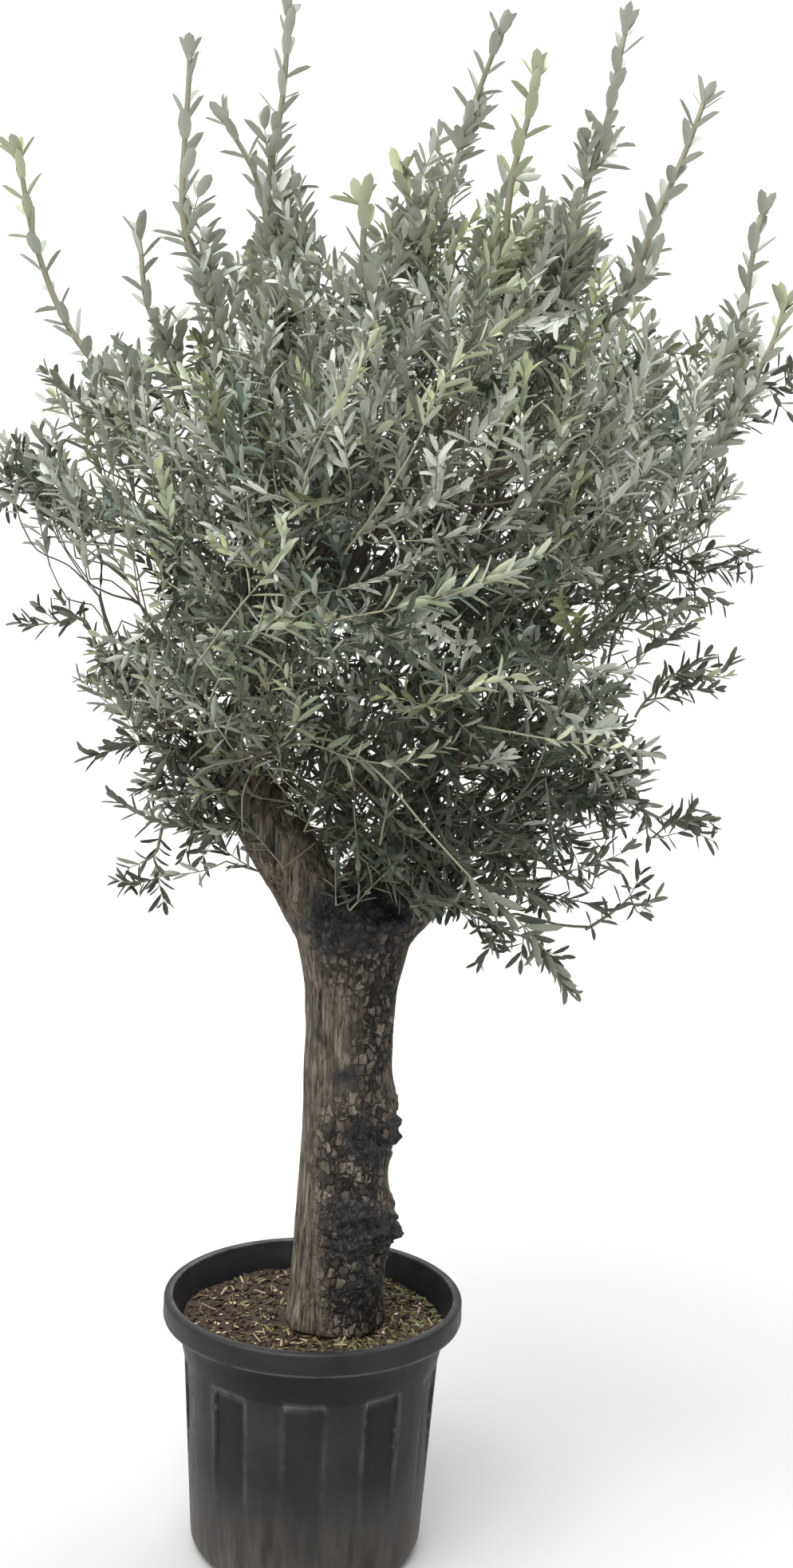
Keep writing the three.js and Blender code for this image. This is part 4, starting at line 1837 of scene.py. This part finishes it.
    def leafy_stem(self, line: Array, habit: Habit, tint: Tint, region: str, fine: bool = True,
                   thick: float = 1.3 * MM, young: bool = False, bare: float = 0.06,
                   gap: float = 0.0155, close: bool = False) -> None:
        """Make one spray: a slim stem with leaf pairs, each pair set square to the last.

        Args:
            line: a smooth line down the stem.
            habit: how the spray grows.
            tint: the spray's leaf tint.
            region: the crown region that its leaves are joined into.
            fine: whether the leaves get the fuller blade.
            thick: the stem's radius at its foot.
            young: whether the last leaves are pale young ones.
            bare: the part of the stem at its foot that has no leaves.
            gap: how far apart its leaf pairs are.
            close: whether the leaves are held close to the stem.
        """
        gaps = np.linalg.norm(np.diff(line, axis=0), axis=1)
        walked = np.concatenate([[0.0], np.cumsum(gaps)])
        total = float(walked[-1])
        book = self.leaves if fine else self.inner_leaves
        count = max(3, round(total * (1 - bare) / gap))
        start = Vector(line[1] - line[0]).normalized()
        across = start.orthogonal().normalized()
        across.rotate(Matrix.Rotation(self.random.uniform(0, 2 * math.pi), 3, start))
        for number in range(count):
            part = bare + (1 - bare) * (number + 0.6) / count
            spot = part * total
            place = Vector([float(np.interp(spot, walked, line[:, axis])) for axis in range(3)])
            ahead = Vector([float(np.interp(min(spot + 0.01, total), walked, line[:, axis])) for axis in range(3)])
            back = Vector([float(np.interp(spot - 0.01, walked, line[:, axis])) for axis in range(3)])
            tangent = (ahead - back).normalized()
            across = across.cross(tangent).normalized()
            size = 0.62 + 0.38 * math.sin(math.pi * min(1.0, 0.25 + 0.62 * part))
            size *= 1.0 if part < 0.8 else 1.0 - 1.4 * (part - 0.8)
            size = 0.95 if close else size
            spread = math.radians(54 - 22 * part) if close else math.radians(58 - 28 * part)
            pale = young and part > 0.72
            for side in (1.0, -1.0):
                if self.random.random() < self.leaf_loss:
                    continue
                angle = spread + self.random.normal(0.0, self.leaf_angle_noise)
                twist = self.random.normal(0.0, self.leaf_twist_noise)
                out = (across * side).copy()
                out.rotate(Matrix.Rotation(twist, 3, tangent))
                along = tangent * math.cos(angle) + out * math.sin(angle)
                along = (along + Vector(self.random.normal(0.0, 0.08, 3))).normalized()
                up = (tangent - along * tangent.dot(along)).normalized()
                up = (up + Vector((0.0, 0.0, 0.35)) + Vector(self.random.normal(0.0, 0.16, 3)))
                up = (up - along * up.dot(along)).normalized()
                length = habit.leaf_length * size * self.random.uniform(0.84, 1.16)
                width = habit.leaf_width * (0.7 + 0.3 * size) * self.random.uniform(0.85, 1.15)
                bend = self.random.normal(0.02 if close else 0.05, 0.06)
                colour = Tint.YOUNG if pale else tint
                book.lay(region, place, along, up, length, width, bend, TINTS.index(colour))
        if close:
            self.tip_cluster(line, habit, Tint.YOUNG if young else tint, region)
        radii = np.linspace(thick, max(0.55 * MM, 0.60 * thick if close else 0.0), len(line))
        self.stems.add(line, radii, 3 if not fine else 4)

    def tip_cluster(self, line: Array, habit: Habit, tint: Tint, region: str) -> None:
        """Open a rosette of full leaves at a long shoot's tip.

        Args:
            line: the line down the shoot.
            habit: how the shoot grows.
            tint: the leaves' tint.
            region: the crown region that the leaves are joined into.
        """
        tip, way = Vector(line[-1]), Vector(line[-1] - line[-2]).normalized()
        across = way.orthogonal().normalized()
        across.rotate(Matrix.Rotation(self.random.uniform(0, 2 * math.pi), 3, way))
        for turn in (0.0, 95.0, 185.0, 275.0):
            out = across.copy()
            out.rotate(Matrix.Rotation(math.radians(turn + self.random.normal(0.0, 14.0)), 3, way))
            angle = math.radians(self.random.uniform(16.0, 54.0))
            along = way * math.cos(angle) + out * math.sin(angle)
            up = (way - along * way.dot(along)).normalized()
            length = habit.leaf_length * self.random.uniform(0.75, 1.0)
            self.leaves.lay(region, tip - way * 0.006, along, up, length, habit.leaf_width, 0.0, TINTS.index(tint))

    def spray_line(self, base: Vector, tip: Vector, bow: Vector) -> Array:
        """Return a bowed line from a spray's foot to its tip.

        Args:
            base: the spray's foot.
            tip: the spray's tip.
            bow: how far its middle is pushed aside.

        Returns:
            The points of the line.
        """
        parts = np.linspace(0.0, 1.0, 6)[:, None]
        line = np.array(base) * (1 - parts) + np.array(tip) * parts
        return line + np.array(bow) * (4 * parts * (1 - parts))

    def grow_masses(self) -> None:
        """Fill every leaf mass with sprays, and join their feet to the limbs."""
        planned = []
        for name in self.masses:
            habit = HABITS[name.split("_")[1]]
            for tip, depth in self.mass_targets(name, habit):
                way = self.spray_way(tip, habit)
                length = self.random.uniform(*habit.length)
                if self.random.random() > self.room.openness(tip - way * length * 0.45):
                    planned.append((self.spray_foot(tip, way, length), tip, habit, depth))
        for tuft in TUFTS:
            habit = HABITS[tuft.tier]
            for _ in range(tuft.count):
                tip = Vector(tuft.place) + Vector(self.random.normal(0.0, tuft.spread * 0.6, 3))
                length = self.random.uniform(*habit.length) * 0.9
                planned.append((self.spray_foot(tip, self.spray_way(tip, habit), length), tip, habit, 0.0))
        feet = np.clip([np.array(base) for base, *_ in planned], self.room_low, self.room_high)
        self.skeleton.tips += self.skeleton.reach(feet, self.skeleton_thrift)
        for base, tip, habit, depth in planned:
            sag = Vector((0.0, 0.0, self.random.uniform(-0.012, 0.006)))
            tint = self.pick_tint(habit, depth + self.shade_at(tip))
            young = tint in (Tint.SAGE, Tint.MOSS) and self.random.random() < 0.4
            side = "front" if tip.y < 0.02 else "back"
            self.leafy_stem(self.spray_line(base, tip, sag), habit, tint, f"{habit.region}_{side}",
                            depth < 0.14, young=young)
        LOG.info("sprays: %d", len(planned))

    def node_line(self, name: str) -> Array:
        """Return the line down a packed shoot or side spray, from its foot to its tip.

        Args:
            name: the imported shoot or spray.

        Returns:
            The points of the line.
        """
        points = np.array([vertex.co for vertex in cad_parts[name].data.vertices])
        middle = points.mean(axis=0)
        _, _, axes = np.linalg.svd(points - middle)
        along = (points - middle) @ axes[0]
        if (points[np.argmax(along)] - self.heart) @ axes[0] < (points[np.argmin(along)] - self.heart) @ -axes[0]:
            along = -along
        edges = np.linspace(along.min(), along.max(), 5)
        middles = []
        for low, high in zip(edges, edges[1:]):
            inside = (along >= low - 1e-6) & (along <= high + 1e-6)
            if inside.sum() > 3:
                middles.append(points[inside].mean(axis=0))
        tip = points[along >= np.quantile(along, 0.97)].mean(axis=0)
        return np.array([*middles, tip])

    def grow_features(self) -> None:
        """Lay the long shoots that stand out in front of the crown."""
        for feature in FEATURES:
            line = smooth_line(np.array(feature.line), 5)
            if not feature.leafy:
                self.stems.add(line, np.linspace(feature.thick, 0.7 * MM, len(line)), 5)
                continue
            habit = replace(FEATURE_HABIT, leaf_length=FEATURE_HABIT.leaf_length * feature.leaf_scale,
                            leaf_width=FEATURE_HABIT.leaf_width * feature.leaf_scale)
            self.leafy_stem(line, habit, feature.tint, "features", thick=feature.thick, bare=feature.bare,
                            gap=feature.gap)

    def grow_leaders(self) -> None:
        """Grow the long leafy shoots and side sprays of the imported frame, each with a few side twigs."""
        plans = []
        for name in self.shoots + self.sprays:
            middles = self.node_line(name)
            if name in LEADERS:
                middles = np.array([*LEADERS[name], middles[-1]])
            foot = middles[0] - unit(middles[1] - middles[0]) * 0.05
            plans.append((name, np.vstack([foot, middles])))
        joints = self.skeleton.reach(np.array([middles[0] for _, middles in plans]), 0.3)
        for (name, middles), joint in zip(plans, joints):
            self.skeleton.tips += [joint] * 4
            upright = name.startswith("shoot_")
            habit = SHOOT_HABIT if upright else SIDE_HABIT
            pale = name == "shoot_pale"
            young = name in YOUNG_TIPS
            line = smooth_line(middles, 4)
            steps = np.linspace(0.0, 1.0, len(line))[:, None]
            line = line + 0.005 * np.sin(steps * 9.0 + self.random.uniform(0, 6, 3))
            length = float(np.linalg.norm(np.diff(line, axis=0), axis=1).sum())
            way = unit(line[-1] - line[0])
            own = Tint.YOUNG if pale else self.pick_tint(habit, 0.0)
            gap = 0.029 if upright else 0.0165
            self.leafy_stem(line, habit, own, habit.region, thick=self.shoot_stem if upright else self.spray_stem,
                            young=young, bare=0.02, gap=gap, close=upright)
            bushy = BUSHY.get(name, 1.0)
            for _ in range(round(bushy * length / (self.shoot_twig_gap if upright else self.spray_twig_gap))):
                part = self.random.uniform(0.0, 0.42 * bushy) if upright else self.random.uniform(0.0, 0.85)
                place = line[int(part * (len(line) - 1))]
                drift = unit(way * (1.8 if upright else 1.0) + self.random.normal(0.0, 0.5, 3))
                reach = self.random.uniform(0.07, 0.14) * (1.0 - 0.7 * part)
                tip = np.clip(place + drift * reach, self.room_low, self.room_high)
                twig = self.spray_line(Vector(place), Vector(tip), Vector((0.0, 0.0, -0.004)))
                tint = Tint.YOUNG if pale else self.pick_tint(habit, 0.0)
                self.leafy_stem(twig, habit, tint, habit.region, thick=2.0 * MM if upright else 1.1 * MM,
                                gap=0.022 if upright else 0.0155)

    def build_wood(self) -> None:
        """Turn the limbs' joints into round limbs and twigs."""
        radii = self.skeleton.radii(self.tip_radius, self.pipe_power)
        places = np.array(self.skeleton.points)
        for run in self.skeleton.chains(radii):
            if len(run) < 2:
                continue
            thickest = float(radii[run[1]])
            parts = 3 if thickest > 4 * MM else 2
            line = smooth_line(places[run], parts)
            own = radii[run].copy()
            own[0] = min(own[0], own[1] * 1.25)
            along = np.interp(np.linspace(0, len(own) - 1, len(line)), np.arange(len(own)), own)
            if thickest > 3.2 * MM:
                self.limbs.add(line, along, 8)
            else:
                self.twigs.add(line, along, 4)

    def build(self) -> None:
        """Grow and dress the whole crown."""
        self.plant_boughs()
        self.grow_limbs()
        self.grow_leaders()
        self.grow_masses()
        self.grow_features()
        self.build_wood()
        settle(self.limbs.build("crown_limbs", TwigFinish("limb_bark", (0.070, 0.056, 0.043))), "bark")
        settle(self.twigs.build("crown_twigs", TwigFinish("twig_bark", (0.150, 0.130, 0.100))), "bark")
        settle(self.stems.build("spray_stems", TwigFinish("stem_bark", (0.25, 0.235, 0.165))), "bark")
        pieces = self.leaves.press(self.leaf_limit)
        for piece in pieces:
            self.settle_leaves(piece)
        for piece in self.inner_leaves.press(self.leaf_limit):
            settle(piece, "foliage")
        LOG.info("leaves: %d", sum(len(rows) for book in (self.leaves, self.inner_leaves)
                                   for rows in book.rows.values()))

    def settle_leaves(self, piece: bpy.types.Object) -> None:
        """Settle a piece of leaves, and hide the packed nodes that it stands for.

        Args:
            piece: the joined leaves.
        """
        region = piece.name.rsplit("_", 1)[0]
        nodes: list[str] = []
        if piece.name.endswith("_1"):
            if region == "shoots":
                nodes = self.shoots
            elif region == "side_sprays":
                nodes = self.sprays
            elif region.endswith("front"):
                nodes = [name for name in self.masses if name.split("_")[1] == region.split("_")[0]]
        slot = "shoots" if region in ("shoots", "side_sprays", "features") else "foliage"
        settle(piece, slot, *nodes)


# ---- Trunk and boughs -------------------------------------------------------


@dataclass(frozen=True)
class Burl:
    """A knobbly, scabby place on the trunk: where it is, how far it stands out and how black it is."""

    level: float
    bearing: float
    height: float
    spread: float
    scab: float


BURLS = (
    Burl(0.735, -18.0, 0.015, 0.040, 1.0),
    Burl(0.715, -62.0, 0.006, 0.042, 1.1),
    Burl(0.560, -22.0, 0.015, 0.042, 1.1),
    Burl(0.575, -75.0, 0.006, 0.055, 1.05),
    Burl(0.470, -55.0, 0.003, 0.050, 0.8),
    Burl(0.820, -95.0, 0.001, 0.030, 0.6),
    Burl(0.968, -48.0, -0.004, 0.012, 1.2),
    Burl(1.085, -105.0, 0.008, 0.060, 0.9),
    Burl(1.100, -60.0, 0.004, 0.060, 0.8),
)


@dataclass
class Bark:
    """The bark at one place: how far it stands out, and its masks."""

    out: float
    crevice: float
    plates: float
    scab: float


@dataclass
class Wood:
    """The trunk and its boughs as one mesh with the bark's relief."""

    voxel: float = 3.6 * MM
    crack_depth: float = 1.5 * MM
    burl_top: float = 1.18
    axis_x: float = 0.043
    girth: float = 0.078
    finish: BarkFinish = field(default_factory=BarkFinish)

    def knob(self, name: str, place: Vector, size: tuple[float, float, float]) -> bpy.types.Object:
        """Model one rounded knob of wood.

        Args:
            name: the knob's name.
            place: its middle.
            size: its radius along each axis.

        Returns:
            The knob.
        """
        clear_selection()
        bpy.ops.mesh.primitive_uv_sphere_add(segments=36, ring_count=18, radius=1.0, location=place)
        knob = name_piece(name)
        knob.scale = size
        bpy.ops.object.transform_apply(location=True, rotation=True, scale=True)
        return knob

    def rough_form(self) -> bpy.types.Object:
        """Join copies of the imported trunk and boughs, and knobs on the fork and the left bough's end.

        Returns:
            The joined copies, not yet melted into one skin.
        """
        _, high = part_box("trunk")
        form = self.knob("trunk_and_boughs", Vector((0.047, 0.0, high.z - 0.020)), (0.100, 0.088, 0.060))
        for name in ("trunk", "bough_left", "bough_right", "bough_middle"):
            copy = bpy.data.objects.new(f"{name}_copy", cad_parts[name].data.copy())
            bpy.context.scene.collection.objects.link(copy)
            copy.data.materials.clear()
            choose(copy)
            bpy.ops.object.mode_set(mode="EDIT")
            bpy.ops.mesh.select_all(action="SELECT")
            bpy.ops.mesh.remove_doubles(threshold=1e-5)
            if name != "trunk":
                bpy.ops.transform.shrink_fatten(value=1.2 * MM)
            bpy.ops.object.mode_set(mode="OBJECT")
            parts = [copy]
            if name == "bough_left":
                end, way, radius = bough_end(name)
                parts.append(self.knob("stub_knob", Vector(end - way * radius * 0.35), (radius * 1.04,) * 3))
            clear_selection()
            for part in (*parts, form):
                part.select_set(True)
            bpy.context.view_layer.objects.active = form
            bpy.ops.object.join()
        return form

    def remesh(self, piece: bpy.types.Object) -> None:
        """Melt the joined forms into one skin and ease its creases.

        Args:
            piece: the joined forms.
        """
        choose(piece)
        melt = piece.modifiers.new("melt", "REMESH")
        melt.mode = "VOXEL"
        melt.voxel_size = self.voxel
        bpy.ops.object.modifier_apply(modifier=melt.name)
        ease = piece.modifiers.new("ease", "SMOOTH")
        ease.factor = 0.6
        ease.iterations = 18
        bpy.ops.object.modifier_apply(modifier=ease.name)

    def bark_at(self, point: Vector) -> Bark:
        """Work out the bark at a place on the wood.

        Args:
            point: the place on the smooth skin.

        Returns:
            The bark's relief and masks there.
        """
        bearing = math.atan2(point.y, point.x - self.axis_x)
        ridge = 1.0 - 2.0 * abs(noise.noise(Vector((point.x * 30.0, point.y * 30.0, point.z * 3.6))))
        fine = noise.noise(Vector((point.x * 120.0, point.y * 120.0, point.z * 11.0)))
        lump = noise.noise(point * 15.0)
        patch = noise.noise(Vector((point.x * 9.0, point.y * 9.0, point.z * 6.0 + 2.0)))
        facing = math.cos(bearing - math.radians(-68.0))
        plates = min(1.0, max(0.0, 2.4 * (facing - 0.50 + 0.55 * patch)))
        out = (1.1 * ridge + 0.9 * fine + 1.5 * lump) * MM
        crevice = 0.55 * max(0.0, (ridge - 0.88) / 0.12)
        scab = 0.0
        if point.z < self.burl_top:
            knobs = 0.6 + 0.9 * noise.noise(point * 46.0) + 0.6 * noise.noise(point * 100.0)
            for burl in BURLS:
                turn = math.remainder(bearing - math.radians(burl.bearing), 2 * math.pi)
                away = ((self.girth * turn) ** 2 + (point.z - burl.level) ** 2) / burl.spread ** 2
                near = math.exp(-away)
                out += burl.height * near * knobs * 1.5
                ragged = near + 0.55 * noise.noise(point * 36.0) * (near > 0.05)
                scab = max(scab, min(1.0, burl.scab * max(0.0, ragged - 0.28) * 2.4))
        rough = max(plates, scab)
        if rough > 0.02:
            cell = Vector((point.x * 74.0, point.y * 74.0, point.z * 42.0))
            cell += Vector((noise.noise(cell * 0.7), noise.noise(cell * 0.7 + Vector((5, 5, 5))), 0.0)) * 0.8
            gaps, _ = noise.voronoi(cell)
            edge = gaps[1] - gaps[0]
            crack = max(0.0, 1.0 - edge / 0.16)
            out += rough * (0.8 * MM * min(edge, 0.6) - self.crack_depth * crack)
            crevice = max(crevice, 0.5 * rough * crack)
        return Bark(out, min(1.0, crevice), plates, scab)

    def carve(self, piece: bpy.types.Object) -> None:
        """Move the skin to the bark's relief, and keep its masks as attributes.

        Args:
            piece: the smooth skin.
        """
        mesh = piece.data
        low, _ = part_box("trunk")
        places = [vertex.co.copy() for vertex in mesh.vertices]
        normals = [vertex.normal.copy() for vertex in mesh.vertices]
        barks = [self.bark_at(place) for place in places]
        for vertex, place, normal, bark in zip(mesh.vertices, places, normals, barks):
            vertex.co = place + normal * bark.out
            vertex.co.z = max(vertex.co.z, low.z)
        for name in ("crevice", "plates", "scab"):
            layer = mesh.attributes.new(name, "FLOAT", "POINT")
            layer.data.foreach_set("value", [getattr(bark, name) for bark in barks])
        mesh.update()

    def build(self) -> None:
        """Build and dress the trunk and boughs."""
        piece = self.rough_form()
        self.remesh(piece)
        self.carve(piece)
        choose(piece)
        bpy.ops.object.shade_smooth()
        piece.data.materials.clear()
        piece.data.materials.append(self.finish.material())
        settle(piece, "bark", "trunk", "bough_left", "bough_right", "bough_middle")


# ---- Stage ------------------------------------------------------------------


@dataclass
class Stage:
    """A plain pale floor, soft studio light and the camera."""

    eye: tuple[float, float, float] = (0.1051, -2.85, 1.615)
    pitch: float = -6.34
    roll: float = 2.3
    lens: float = 40.45
    floor_color: Color = (0.42, 0.42, 0.415)
    horizon: Color = (0.30, 0.30, 0.31)
    zenith: Color = (1.0, 1.0, 1.0)
    dome_strength: float = 1.15

    def camera(self) -> None:
        """Set the camera at the viewing angle, a little above the middle and slightly rolled."""
        data = bpy.data.cameras.new("camera")
        data.lens = self.lens
        data.clip_end = 200.0
        camera = bpy.data.objects.new("camera", data)
        bpy.context.scene.collection.objects.link(camera)
        pitch, roll = math.radians(self.pitch), math.radians(self.roll)
        forward = Vector((0.0, math.cos(pitch), math.sin(pitch)))
        right = Vector((1.0, 0.0, 0.0))
        up = right.cross(forward)
        across = right * math.cos(roll) + up * math.sin(roll)
        above = up * math.cos(roll) - right * math.sin(roll)
        turn = Matrix((across, above, -forward)).transposed()
        camera.location = self.eye
        camera.rotation_euler = turn.to_euler()
        bpy.context.scene.camera = camera

    def floor(self) -> None:
        """Lay the floor just under the pot."""
        clear_selection()
        bpy.ops.mesh.primitive_plane_add(size=120.0, location=(0.0, 0.0, 0.0))
        floor = name_piece("floor")
        material, _, shader = bare_material("floor_paint")
        shader.inputs["Base Color"].default_value = (*self.floor_color, 1.0)
        shader.inputs["Roughness"].default_value = 0.95
        shader.inputs["Specular IOR Level"].default_value = 0.1
        floor.data.materials.append(material)

    def sky(self) -> None:
        """Light the room softly, mostly from above, against a white background."""
        world = bpy.data.worlds.new("studio")
        world.use_nodes = True
        wiring = Wiring(world.node_tree)
        background = world.node_tree.nodes["Background"]
        place = wiring.add("ShaderNodeTexCoord")
        split = wiring.add("ShaderNodeSeparateXYZ")
        wiring.join(place.outputs["Generated"], split.inputs["Vector"])
        height = wiring.remap(split.outputs["Z"], 0.0, 0.9)
        dome = wiring.ramp(height, [(0.0, self.horizon), (1.0, self.zenith)])
        seen = wiring.add("ShaderNodeLightPath")
        color = wiring.blend(seen.outputs["Is Camera Ray"], dome.outputs["Color"], (1.0, 1.0, 1.0))
        wiring.join(color, background.inputs["Color"])
        background.inputs["Strength"].default_value = self.dome_strength
        bpy.context.scene.world = world

    def sun(self, name: str, bearing: float, height: float, strength: float, softness: float) -> None:
        """Hang one large soft light far off, at a bearing and a height in degrees.

        Args:
            name: the light's name.
            bearing: its bearing in degrees.
            height: its height in degrees.
            strength: its strength.
            softness: its angle across, in degrees.
        """
        data = bpy.data.lights.new(name, "SUN")
        data.energy = strength
        data.angle = math.radians(softness)
        sun = bpy.data.objects.new(name, data)
        bpy.context.scene.collection.objects.link(sun)
        flat = math.cos(math.radians(height))
        place = Vector((flat * math.cos(math.radians(bearing)), flat * math.sin(math.radians(bearing)),
                        math.sin(math.radians(height))))
        sun.location = place * 5.0
        sun.rotation_euler = (-place).to_track_quat("-Z", "Y").to_euler()

    def build(self) -> None:
        """Set up the floor, the light and the camera."""
        bpy.context.scene.view_settings.view_transform = "Standard"
        self.sky()
        self.floor()
        self.sun("key", -125.0, 60.0, 3.9, 45.0)
        self.sun("back", 70.0, 66.0, 2.4, 50.0)
        self.camera()


# ---- Assembly ---------------------------------------------------------------


def main() -> None:
    """Build the tree from the ground up."""
    logging.basicConfig(level=logging.INFO, format="%(name)s: %(message)s")
    random = np.random.default_rng(SEED)
    Stage().build()
    Pot().build()
    Soil().build(random)
    Wood().build()
    Crown(random).build()


if __name__ == "__main__":
    main()
